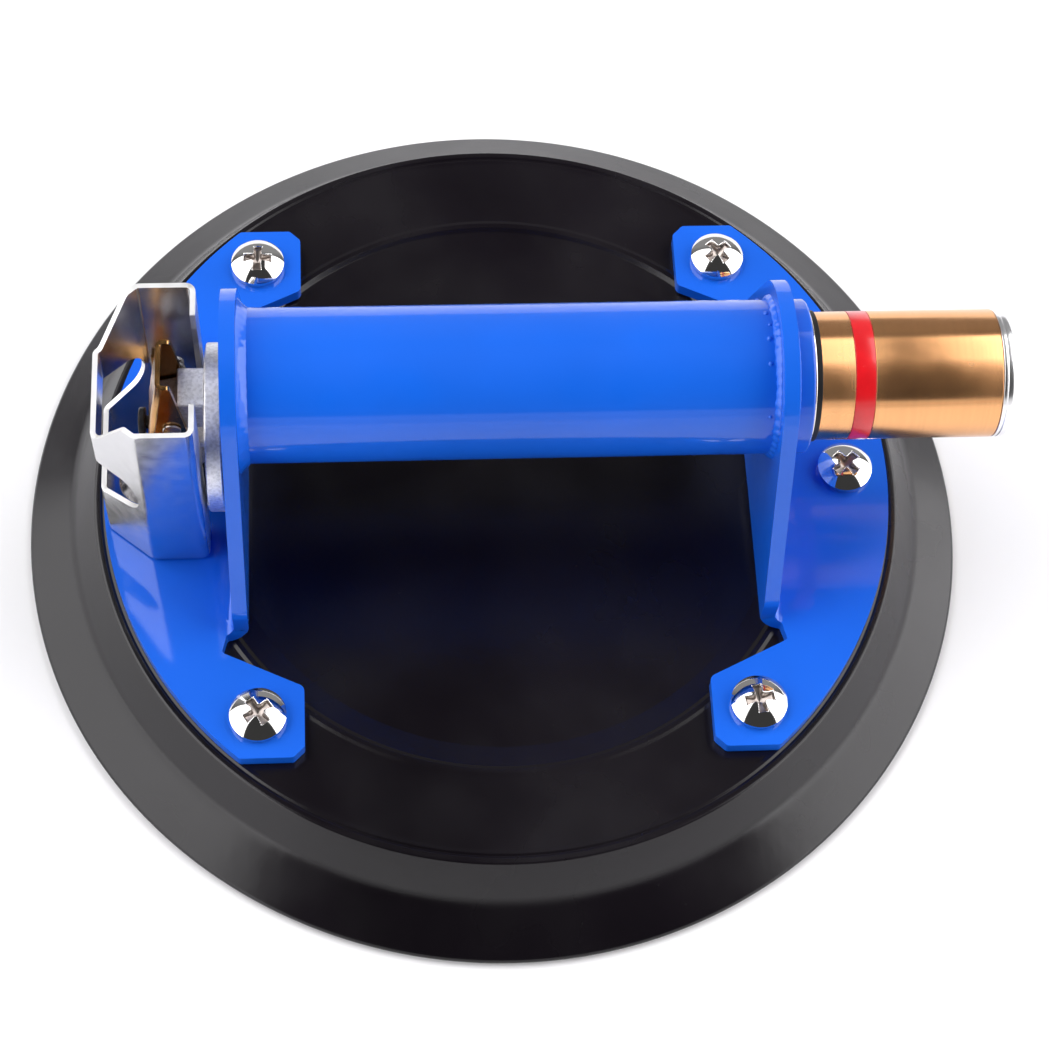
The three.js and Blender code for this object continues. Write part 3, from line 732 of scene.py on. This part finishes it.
def weld_bead(name, x, side, size, hollow, ripple, seed):
    """A painted weld in the corner between the tube and a leg's face at x.

    side is the way the face looks; hollow is 1 for a round bead and over 2 for a dished one.
    """
    bm = bmesh.new()
    around, across = 240, 10
    scales = 46  # ripples along the whole seam
    root = 0.3  # how deep the bead's hidden corner lies
    rows = []
    for k in range(around):
        angle = 2 * pi * k / around
        spot = Vector((cos(angle) * 2.2, sin(angle) * 2.2, seed))
        shift = 4 * noise.noise(spot)
        wave = 0.6 * noise.noise(spot * 2.0) + 0.25 * cos(angle * scales + shift)
        leg = size * (1 + ripple * wave)
        points = [(x - side * root, TUBE_RADIUS - root)]
        for j in range(across + 1):
            turn = pi / 2 * j / across
            out, up = leg * cos(turn) ** hollow, leg * sin(turn) ** hollow
            points.append((x + side * out, TUBE_RADIUS - 0.05 + up))
        y, z = cos(angle), sin(angle)
        rows.append([bm.verts.new((a * MM, r * y * MM, r * z * MM)) for a, r in points])
    join_rings(bm, rows, closed=True)
    bmesh.ops.recalc_face_normals(bm, faces=bm.faces)
    bmesh.ops.translate(bm, vec=(0, 0, AXIS_Z * MM), verts=bm.verts)
    dress(new_object(name, bm, sharp=60), "blue_enamel", "base")


def make_spatter():
    """Small beads of weld metal under the paint beside the right leg."""
    parts = []
    beads = 7
    for k in range(beads):
        shift = noise.noise(Vector((k * 1.7, 0.3, 2.0)))
        angle = radians(38 + 21 * k + 24 * shift)
        size = 0.45 + 0.35 * abs(noise.noise(Vector((k * 2.3, 5.0, 0.0))))
        bm = bmesh.new()
        bmesh.ops.create_icosphere(bm, subdivisions=3, radius=size * MM)
        r = TUBE_RADIUS - 0.15
        spot = Vector((LEG_IN - 1.6 - 1.2 * abs(shift), -r * cos(angle), AXIS_Z + r * sin(angle)))
        bmesh.ops.translate(bm, vec=spot * MM, verts=bm.verts)
        parts.append(bm)
    dress(joined("weld_spatter", *parts), "blue_enamel", "base")


# ---- screws ----
DOME = {"rise": 2.4, "rings": 90}
SHANK = {"radius": 2.95, "tip": 2.5, "end": -10.8}
RECESS = {"reach": 0.5, "arm": 0.1, "flare": 0.05, "hub": 0.2, "lip": 0.07}  # of the head radius
SCREW_TURNS = (42, 38, 10, 25, 34, -3)  # degrees that each cross is turned
RECESS_SHARE = 0.6  # depth share from which a face gets the recess's darker brownish chrome, a painted shade


def cross_recess(x, y, head):
    """Depth share, 0 to 1, of a cross recess with flared arms and soft lips."""
    reach = head * RECESS["reach"]
    a, b = max(abs(x), abs(y)), min(abs(x), abs(y))
    half = head * (RECESS["arm"] + RECESS["flare"] * (a / reach) ** 2)
    half += 0.5 * max(0.0, head * RECESS["hub"] - a)
    inside_by = min(half - b, (reach - a) * 0.8)
    share = min(max(inside_by / (head * RECESS["lip"]) + 0.5, 0), 1)
    return share * share * (3 - 2 * share)


def screw_mesh():
    low, high = corners("pad_screw_1")
    head = (high.x - low.x) / 2
    top = high.z - PLATE_TOP
    shank, tip, end = SHANK["radius"], SHANK["tip"], SHANK["end"]
    body = [
        (0, end),
        (tip, end),
        (shank, end + 0.6),
        (shank, -0.02, 0.2),
        (head - 0.15, -0.02, 0.25),
        (head, top - DOME["rise"] - 0.25, 0.4),
    ]
    ball = (head**2 + DOME["rise"] ** 2) / (2 * DOME["rise"])
    dome = []
    for k in range(DOME["rings"] + 1):
        r = head * (1 - k / DOME["rings"])
        dome.append((r, top - ball + sqrt(ball**2 - r**2)))

    def pressed(r, h, angle):
        depth = cross_recess(r * cos(angle), r * sin(angle), head)
        floor = top * (0.62 - 0.3 * (1 - min(r / (head * RECESS["reach"]), 1)))
        return -depth * max(0.0, h - floor)

    bm = turned(rounded(body, steps=4) + dome, "Z", steps=192, lift=pressed)
    for face in bm.faces:
        # faces deep in the recess take the second, darker material: painted shade
        middle = face.calc_center_median() / MM
        if middle.z > 0 and cross_recess(middle.x, middle.y, head) > RECESS_SHARE:
            face.material_index = 1
    return as_mesh("screw", bm)


def make_screws():
    shared = screw_mesh()
    for i, turn in enumerate(SCREW_TURNS, start=1):
        node = f"pad_screw_{i}"
        low, high = corners(node)
        screw = new_object(f"screw_{i}", shared.copy(), sharp=45)
        middle = Vector(((low.x + high.x) / 2, (low.y + high.y) / 2, PLATE_TOP)) * MM
        spin = Matrix.Rotation(radians(turn), 4, "Z")
        screw.data.transform(Matrix.Translation(middle) @ spin)
        # the screw's second material is painted shade in its cross recess
        dress(screw, "screw_chrome", "base", node).data.materials.append(LOOKS["recess_chrome"])
    bpy.data.meshes.remove(shared)


# ---- pump ----
def make_plunger():
    start, end = PLUNGER_LOW.x, PLUNGER_HIGH.x
    low, high = BAND_LOW.x, BAND_HIGH.x
    outer = PLUNGER_RADIUS
    inner, groove = outer - 1.5, outer - 0.35
    tube = [
        (inner, start, 0.2),
        (outer, start, 0.3),
        (outer, low - 0.1, 0.08),
        (groove, low - 0.1),
        (groove, high + 0.1),
        (outer, high + 0.1, 0.08),
        (outer, end, 0.15),
        (inner, end),
    ]
    gold = lathe("plunger", rounded(tube, closed=True, steps=3), **HANDLE)
    dress(gold, "gold_anodised", "plunger", "plunger_tube", "plunger_stop_ring")

    face, side, plug = CAP_HIGH.x, outer - 0.03, inner - 0.2
    cap = [
        (0, end - 7),
        (plug, end - 7),
        (plug, end + 0.15),
        (side, end + 0.15, 0.15),
        (side, end + 0.8, 0.12),
        (outer - 0.2, end + 0.95, 0.1),
        (side, end + 1.1, 0.15),
        (side, end + 2.4, 1.2),
        (outer - 1.6, face - 0.3, 1.6),
        (outer - 6, face - 0.02, 2),
        (0, face),
    ]
    silver = lathe("cap", rounded(cap, steps=5), **HANDLE)
    dress(silver, "satin_silver", "plunger", "plunger_cap")

    under, over = outer - 0.32, outer + 0.03
    stripe = [(under, low, 0.05), (over, low, 0.1), (over, high, 0.1), (under, high, 0.05)]
    band = lathe("band", rounded(stripe, closed=True, steps=3), **HANDLE)
    dress(band, "red_band", "plunger", "indicator_band")


def make_bush():
    outer = (BUSH_HIGH.z - BUSH_LOW.z) / 2
    inner = outer - 0.75
    low, high = BUSH_LOW.x, BUSH_HIGH.x
    points = [(inner, low, 0.1), (outer, low, 0.1), (outer, high, 0.25), (inner, high, 0.25)]
    bush = lathe("bush", rounded(points, closed=True), **HANDLE)
    dress(bush, "screw_chrome", "base", "guide_bush")
    gap = PLUNGER_RADIUS + 0.08
    points = [
        (gap, high - 0.4),
        (inner - 0.02, high - 0.4),
        (inner - 0.02, high + 0.2, 0.1),
        (gap + 0.25, high + 1.2, 0.1),
        (gap, high + 1.2, 0.05),
    ]
    lip = lathe("wiper_lip", rounded(points, closed=True), **HANDLE)
    dress(lip, "soft_rubber", "base")


def make_pump_spring():
    """The pump's coil spring, built at one length; the real one shortens as the plunger goes in.
    """
    low, high = corners("pump_spring")
    gauge, turns, per_turn = 0.8, 9, 24
    radius = (high.z - low.z) / 2 - gauge
    steps = turns * per_turn
    coil = []
    for k in range(steps + 1):
        angle = 2 * pi * turns * k / steps
        x = low.x + gauge + (high.x - low.x - 2 * gauge) * k / steps
        coil.append((x, radius * cos(angle), AXIS_Z + radius * sin(angle)))
    spring = new_object("compression_spring", wire(coil, gauge))
    dress(spring, "zinc_steel", "base", "pump_spring")
    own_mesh(spring)


# ---- valve body ----
TONGUE = {"x": -67.7, "half": 4.6, "top": 64.0, "low": 60.6}
FACE_X = -62.2
BACK_X = -58.75


def make_valve_body():
    disc = [
        (0, FACE_X + 0.02),
        (DISC_RADIUS - 2.6, FACE_X + 0.02, 0.2),
        (DISC_RADIUS - 2.2, FACE_X, 0.2),
        (DISC_RADIUS - 0.05, FACE_X, 0.5),
        (DISC_RADIUS - 0.05, BACK_X, 0.3),
        (0, BACK_X),
    ]
    flange = turned(rounded(disc, steps=4), "X", (0, 0, DISC_Z), 128)
    boss_radius, seat = 5.5, SEAL_HIGH.x
    boss_profile = [
        (0, FACE_X + 0.5),
        (boss_radius, FACE_X + 0.5),
        (boss_radius, seat + 0.2, 0.6),
        (2.2, seat + 0.2, 0.2),
        (2.0, seat + 1.4),
        (0, seat + 1.4),
    ]
    boss = turned(rounded(boss_profile), "X", (0, 0, STEM_Z), 64)
    duct_radius, barb, top, shelf, end = 4, 2.4, 44.6, 36, VALVE_LOW.z + 1.7
    duct_profile = [
        (0, top),
        (duct_radius, top, 0.8),
        (duct_radius, shelf, 0.6),
        (barb, shelf, 0.2),
        (barb, VALVE_LOW.z + 3, 0.2),
        (1.3, end, 0.2),
        (0, end),
    ]
    duct = turned(rounded(duct_profile), "Z", (DUCT_X, 0, 0), 48)
    root, nose, under = FACE_X + 0.6, PIVOT.x - 2.8, PIVOT.z - 2.2
    lug_outline = [
        (root, TONGUE["top"]),
        (TONGUE["x"], TONGUE["top"]),
        (TONGUE["x"], TONGUE["low"]),
        (nose, PIVOT.z + 2.3),
        (nose, under),
        (root, under),
    ]
    lug = block(lug_outline, "Y", -TONGUE["half"], TONGUE["half"], edge=0.45)
    body = joined("valve_casting", flange, boss, duct, lug)
    dress(body, "cast_zinc", "base", "valve_body")

    wide, near, far = DISC_RADIUS - 0.5, BACK_X + 0.05, -LEG_OUT - 0.05
    skin = [(0, near), (wide, near, 0.1), (wide, far, 0.1), (0, far)]
    gasket = lathe("gasket", rounded(skin), centre=(0, 0, DISC_Z), steps=96)
    dress(gasket, "soft_rubber", "base", "valve_gasket")


def make_hose():
    outer = HOSE_HIGH.y
    low, high = HOSE_LOW.z, HOSE_HIGH.z
    points = [
        (2.5, low, 0.3),
        (outer, low, 0.5),
        (outer - 0.15, low + 2.4, 1.5),
        (outer - 0.35, (low + high) / 2, 6),
        (outer - 0.15, high - 2.4, 1.5),
        (outer, high, 0.5),
        (2.5, high, 0.3),
    ]
    hose = lathe("hose", rounded(points, closed=True), "Z", (DUCT_X, 0, 0), 64)
    dress(hose, "soft_rubber", "base", "air_hose")


def make_fitting():
    low, high = FITTING_LOW.z, FITTING_HIGH.z
    tail = 2.8
    points = [
        (1.2, low, 0.1),
        (tail, low, 0.2),
        (tail, PLATE_TOP + 1, 0.1),
        (2.2, PLATE_TOP + 1, 0.1),
        (2.2, high - 1.4, 0.1),
        (1.7, high, 0.2),
        (1.2, high, 0.1),
    ]
    stem = turned(rounded(points, closed=True, steps=3), "Z", (DUCT_X, 0, 0), 48)
    nut_outline = arc((DUCT_X, 0), 4.0, 0, 300, 5)
    nut = block(nut_outline, "Z", PLATE_TOP + 0.1, PLATE_TOP + 2.4, edge=0.3)
    dress(joined("fitting", stem, nut), "cast_zinc", "base", "base_fitting")
    low, high, wide = FILTER_LOW.z, FILTER_HIGH.z, 6.7
    disc = [(0, low), (wide, low, 0.4), (wide, high, 0.4), (0, high)]
    foam = lathe("filter_disc", rounded(disc), "Z", (DUCT_X, 0, 0), 64)
    dress(foam, "filter_foam", "base", "port_filter")


def make_valve_screws():
    for node in ("valve_screw_front", "valve_screw_rear"):
        low, high = corners(node)
        y, z = (low.y + high.y) / 2, (low.z + high.z) / 2
        face, head, shank = low.x, 3.4, 1.9
        points = [
            (0, face + 0.05),
            (1.2, face + 0.05, 0.1),
            (head, face + 0.1, 0.3),
            (head, face + 0.62, 0.1),
            (shank, face + 0.62, 0.1),
            (shank, high.x, 0.4),
            (0, high.x),
        ]
        screw = lathe(node + "_turned", rounded(points), centre=(0, y, z), steps=48)
        dress(screw, "zinc_steel", "base", node)


# ---- release lever ----
LEVER = {"bend": -75.3, "half": 18.0, "wall": 9.9, "lip": 10.2, "sheet": 1.1}
LEVER_Y = (LEVER_LOW.y + LEVER_HIGH.y) / 2
RIM_RISE = {"low": 63.5, "from": -83.5, "to": -77.2}  # where the rim climbs to the top
HIGHLIGHT_EDGE_SLOPE = 0.3  # a face of the lever that leans more than this is a cut edge of the sheet: rougher, and painted lighter as a highlight
WINDOW = {"low": 40.0, "high": 53.0, "middle": 47.3, "tall": 5.7, "reach": 16.6, "end": 3.1}
BISECTIONS = 40


class Path:
    """A rounded line in plan, measured by the length along it."""

    def __init__(self, points, radius):
        self.points = rounded(points, radius, steps=6)
        self.marks = [0.0]
        for a, b in zip(self.points, self.points[1:]):
            self.marks.append(self.marks[-1] + (b - a).length)

    @property
    def length(self):
        return self.marks[-1]

    def at(self, s):
        last = len(self.points) - 2
        i = 0
        while i < last and self.marks[i + 1] < s:
            i += 1
        span = self.marks[i + 1] - self.marks[i]
        return self.points[i].lerp(self.points[i + 1], (s - self.marks[i]) / span)

    def where_y(self, y, low, high=None):
        """The length at which the line, running towards -Y, reaches y."""
        high = self.length if high is None else high
        for _ in range(BISECTIONS):
            middle = (low + high) / 2
            if self.at(middle).y > y:
                low = middle
            else:
                high = middle
        return (low + high) / 2


def lever_path():
    t = LEVER["sheet"] / 2
    left, open_x = LEVER_LOW.x, LEVER_HIGH.x
    bend, half, wall, lip = (LEVER[k] for k in ("bend", "half", "wall", "lip"))
    slant = t * tan(pi / 8)
    half_line = [
        (open_x - t, lip),
        (open_x - t, half - t),
        (bend + slant, half - t),
        (left + t, wall - slant),
    ]
    mirrored = [(x, -y) for x, y in reversed(half_line)]
    return Path(half_line + mirrored, 1.5)


def rim_height(x):
    low, start, end = RIM_RISE["low"], RIM_RISE["from"], RIM_RISE["to"]
    share = min(max((x - start) / (end - start), 0), 1)
    return low + share * (LEVER_HIGH.z - low)


def window_outline():
    """Seen from the front: straight edges, then a half ellipse in each slanted wall."""
    low, high, middle, tall = (WINDOW[k] for k in ("low", "high", "middle", "tall"))
    wall, end = LEVER["wall"], WINDOW["end"]
    centre, steps = WINDOW["reach"] - end, 16
    turns = [radians(-80 + 160 * k / steps) for k in range(steps + 1)]
    tip = [(centre + end * cos(turn), middle + tall * sin(turn)) for turn in turns]
    shape = [(wall, low, 2), *tip, (wall, high, 2)]
    return shape + [(-p[0], *p[1:]) for p in reversed(shape)]


def make_lever():
    path = lever_path()
    low = LEVER_LOW.z
    steps, corner = 120, 0.8
    marks = [path.length * k / steps for k in range(steps + 1)]
    top = [(s, rim_height(path.at(s).x) - 0.02) for s in marks]
    top[0], top[-1] = (*top[0], corner), (*top[-1], corner)
    outline = rounded([(0, low, corner), *top, (path.length, low, corner)], closed=True)

    side_from = path.where_y(LEVER["half"] - 1.2, path.length * 0.1)
    side_to = path.length - side_from
    edge = refined(rounded(window_outline(), closed=True), 1.0)
    window = [(path.where_y(y, side_from, side_to), z) for y, z in edge]

    def place(s, z):
        spot = path.at(s)
        return spot.x, spot.y + LEVER_Y, z

    cuts, open_edge = path.marks[1:-1], (LEVER_HIGH.x - 0.25) * MM
    lever = folded("lever", [outline, window], place, LEVER["sheet"], cuts, edge=0.32)
    # edge faces take the second material, whose lighter colour paints a highlight on them
    for face in lever.data.polygons:
        if abs(face.normal.z) > HIGHLIGHT_EDGE_SLOPE or face.center.x > open_edge:
            face.material_index = 1
    dress(lever, "lever_chrome", "lever", "release_lever").data.materials.append(LOOKS["cut_edge"])


def refined(points, longest):
    """Adds points so that no stretch of a closed outline is longer than asked."""
    made = []
    for i, here in enumerate(points):
        after = points[(i + 1) % len(points)]
        parts = max(1, int((Vector(after) - Vector(here)).length / longest))
        made += [Vector(here).lerp(Vector(after), k / parts) for k in range(parts)]
    return made


# ---- bronze bracket, pin, springs, release valve ----
CHEEK = {"half": 5.4, "sheet": 1.0, "waist": 53.0, "strip": -71.8, "lean": 2.9}


def make_hinge_bracket():
    t = CHEEK["sheet"]
    web = HINGE_LOW.x + t / 2
    half, strip, front = CHEEK["half"], CHEEK["strip"], -64.0
    path = Path([(front, half), (web, half), (web, -half), (front, -half)], 1.0)
    top, low, waist = HINGE_HIGH.z, HINGE_LOW.z, CHEEK["waist"]

    def lean(z):
        return CHEEK["lean"] * max(0.0, (z - waist - 1) / (top - waist - 1))

    def mark(x, z):
        return x - lean(z) - front

    cheek = [
        (-mark(-68.4, top), top, 1.0),
        (-mark(-65.9, 55), 55.0, 1.5),
        (-mark(-66.6, waist), waist, 0.6),
        (-mark(strip, waist), waist, 0.6),
        (-mark(strip, low), low, 0.4),
    ]
    far = [(path.length - s, z, r) for s, z, r in reversed(cheek)]
    outline = rounded(cheek + far, closed=True)

    def place(s, z):
        spot = path.at(s)
        return spot.x + lean(z), spot.y, z

    cuts = path.marks[1:-1]
    shell = folded("bronze_shell", [refined(outline, 2.0)], place, t, cuts, edge=0.25)
    parts = [taken(shell)]
    for side, reach in ((-1, HINGE_LOW.y + 0.1), (1, HINGE_HIGH.y - 0.1)):
        wing = [
            (side * half, low + t),
            (side * half, low),
            (reach, low),
            (reach, low + 6),
            (reach - side * t, low + 6),
            (reach - side * t, low + t),
        ]
        parts.append(block(rounded(wing, 0.25, True, 3), "X", web - t / 2, -70.6, edge=0.2))
    dress(joined("bronze_bracket", *parts), "bronze", "lever", "lever_hinge_bracket")


def taken(piece):
    """The mesh of an object as a bmesh; the object goes."""
    bm = bmesh.new()
    bm.from_mesh(piece.data)
    bpy.data.objects.remove(piece)
    return bm


def make_pin():
    r, rivet, head = 1.5, 0.4, 1.0
    points = [
        (0, PIN_LOW.y),
        (r + rivet, PIN_LOW.y, 0.3),
        (r + rivet, PIN_LOW.y + rivet),
        (r, PIN_LOW.y + rivet),
        (r, PIN_HIGH.y - head, 0.1),
        (r + 0.8, PIN_HIGH.y - head, 0.2),
        (r + 0.8, PIN_HIGH.y, 0.5),
        (0, PIN_HIGH.y),
    ]
    pin = lathe("pin", rounded(points), "Y", (PIVOT.x, 0, PIVOT.z), 48)
    dress(pin, "zinc_steel", "base", "lever_pin")


def make_torsion_spring():
    """One leg bears on the valve body, the other on the bronze bracket's wing."""
    low, high = corners("lever_return_spring")
    gauge, radius, turns, steps = 0.4, 2.3, 2.25, 64
    coil = []
    for k in range(steps + 1):
        t = k / steps
        angle = pi / 2 + t * turns * 2 * pi
        y = low.y + gauge + (high.y - low.y - 2 * gauge) * t
        coil.append((PIVOT.x + radius * cos(angle), y, PIVOT.z + radius * sin(angle)))
    first = (high.x - gauge, coil[0][1], coil[0][2])
    last = (coil[-1][0], coil[-1][1], low.z + gauge)
    spring = joined("torsion_spring", wire([first, *coil, last], gauge))
    dress(spring, "zinc_steel", "base", "lever_return_spring")


def make_release_valve():
    low, high = STEM_LOW.x, STEM_HIGH.x
    head, shank, collar = 3.2, 1.4, 2.6
    points = [
        (0, low),
        (head, low, 0.5),
        (head, low + 1.4, 0.2),
        (shank, low + 1.4, 0.1),
        (shank, low + 3.7, 0.1),
        (collar, low + 3.7, 0.2),
        (collar, low + 4.8, 0.2),
        (shank, low + 4.8, 0.1),
        (shank, high, 0.4),
        (0, high),
    ]
    stem = lathe("valve_pin", rounded(points), centre=(0, 0, STEM_Z), steps=48)
    dress(stem, "black_oxide", "release_valve", "release_valve_stem")
    low, high = SEAL_LOW.x, SEAL_HIGH.x
    washer = rounded([(1.6, low), (4.3, low), (4.3, high), (1.6, high)], 0.3, closed=True)
    seal = lathe("valve_washer", washer, centre=(0, 0, STEM_Z), steps=48)
    dress(seal, "soft_rubber", "release_valve", "release_valve_seal")


# ---- inner pieces that keep their CAD shape ----
def dress_cad_nodes():
    """Gives each CAD node that still shows the look of its slot."""
    slots = {row["node"]: row["material_slot"] for row in frame["record"]["subparts"]}
    for name, piece in frame["nodes"].items():
        if piece.hide_render:
            continue
        piece.data.materials.clear()
        piece.data.materials.append(LOOKS[slots[name]])


# ---- stage ----
def make_floor():
    mesh = bpy.data.meshes.new("floor")
    reach = 4.0
    ends = [(-reach, -reach, 0), (reach, -reach, 0), (reach, reach, 0), (-reach, reach, 0)]
    mesh.from_pydata(ends, [], [(0, 1, 2, 3)])
    floor = in_scene("floor", mesh)
    look = Look("pale_floor", (0.92, 0.92, 0.93), 0.6)
    clouds = look.ranged(look.noise(3), *MIDDLE)
    look.color(look.mixed(clouds, (0.91, 0.91, 0.92), (0.94, 0.94, 0.95)))
    mesh.materials.append(look.material)


VIEW = {"azimuth": -7.8, "elevation": 62.93, "distance": 0.5935, "roll": 5.74}
TARGET = Vector((0.0068, -0.001, 0))
LENS, SENSOR = 89.1, 36


def make_camera():
    azimuth, elevation = radians(VIEW["azimuth"]), radians(VIEW["elevation"])
    level = cos(elevation)
    back = Vector((sin(azimuth) * level, -cos(azimuth) * level, sin(elevation)))
    data = bpy.data.cameras.new("camera")
    data.lens, data.sensor_width = LENS, SENSOR
    camera = in_scene("camera", data)
    aim = back.to_track_quat("Z", "Y").to_matrix().to_4x4()
    spin = Matrix.Rotation(radians(VIEW["roll"]), 4, "Z")
    camera.matrix_world = Matrix.Translation(TARGET + back * VIEW["distance"]) @ aim @ spin
    bpy.context.scene.camera = camera
    bpy.context.scene.view_settings.view_transform = "Standard"


# A soft box fills the directions that lie on the positive side of its three planes.
# Its radiance is the first number, plus the second at the zenith.
SOFT_BOXES = (
    (((-0.74, 0.62, -0.25), (-0.41, -0.77, 0.48), (-1, 0, -0.26)), 2.1, 1.9),
    (((0.62, 0.76, -0.19), (0.41, -0.77, 0.48), (1, 0, -0.38)), 3.6, -0.4),
)
BOX_EDGE = (-0.03, 0.03)  # a box's plane fades from dark to light between these distances
TABLE_RISE = radians(12)  # how far up the pale board in front of the cup reaches
BOARD, OVERHEAD = 0.8, 0.045
BACK_WALL = (0.5, 0.8, 0.0, 0.24)  # from and to, straight back being 1, and its radiance there


def make_world():
    """A dim studio: two large leaning soft boxes, a pale board in front, a grey wall behind."""
    world = bpy.data.worlds.new("studio")
    bpy.context.scene.world = world
    graph = Graph(world)
    way = graph.nodes.new("ShaderNodeTexCoord").outputs["Generated"]

    def along(direction):
        node = graph.nodes.new("ShaderNodeVectorMath")
        node.operation = "DOT_PRODUCT"
        node.inputs[1].default_value = direction
        graph.links.new(way, node.inputs[0])
        return node.outputs["Value"]

    high, low = reversed(BOX_EDGE)
    up = along((0, sin(TABLE_RISE), cos(TABLE_RISE)))
    total = graph.ranged(up, high, low, OVERHEAD, BOARD)
    total = graph.combined("ADD", total, graph.ranged(along((0, 1, 0)), *BACK_WALL))
    for planes, radiance, higher in SOFT_BOXES:
        box = graph.ranged(along((0, 0, 1)), 0, 1, radiance, radiance + higher)
        for plane in planes:
            box = graph.combined("MULTIPLY", box, graph.ranged(along(plane), *BOX_EDGE))
        total = graph.combined("ADD", total, box)
    background = graph.nodes["Background"].inputs
    graph.links.new(total, background["Strength"])
    background["Color"].default_value = (1, 0.99, 1, 1)


# ---- build ----
make_camera()
make_world()
make_floor()
make_pad()
make_bracket("right", 1)
make_bracket("left", -1)
make_tube()
weld_bead("weld_left", -LEG_IN, 1, 2.2, 2.3, 0.06, seed=1.0)
weld_bead("weld_right_inner", LEG_IN, -1, 1.1, 1.5, 0.35, seed=4.0)
weld_bead("weld_right_outer", LEG_OUT, 1, 0.9, 1.8, 0.1, seed=7.0)
make_spatter()
make_screws()
make_plunger()
make_bush()
make_pump_spring()
make_valve_body()
make_hose()
make_fitting()
make_valve_screws()
make_lever()
make_hinge_bracket()
make_pin()
make_torsion_spring()
make_release_valve()
dress_cad_nodes()
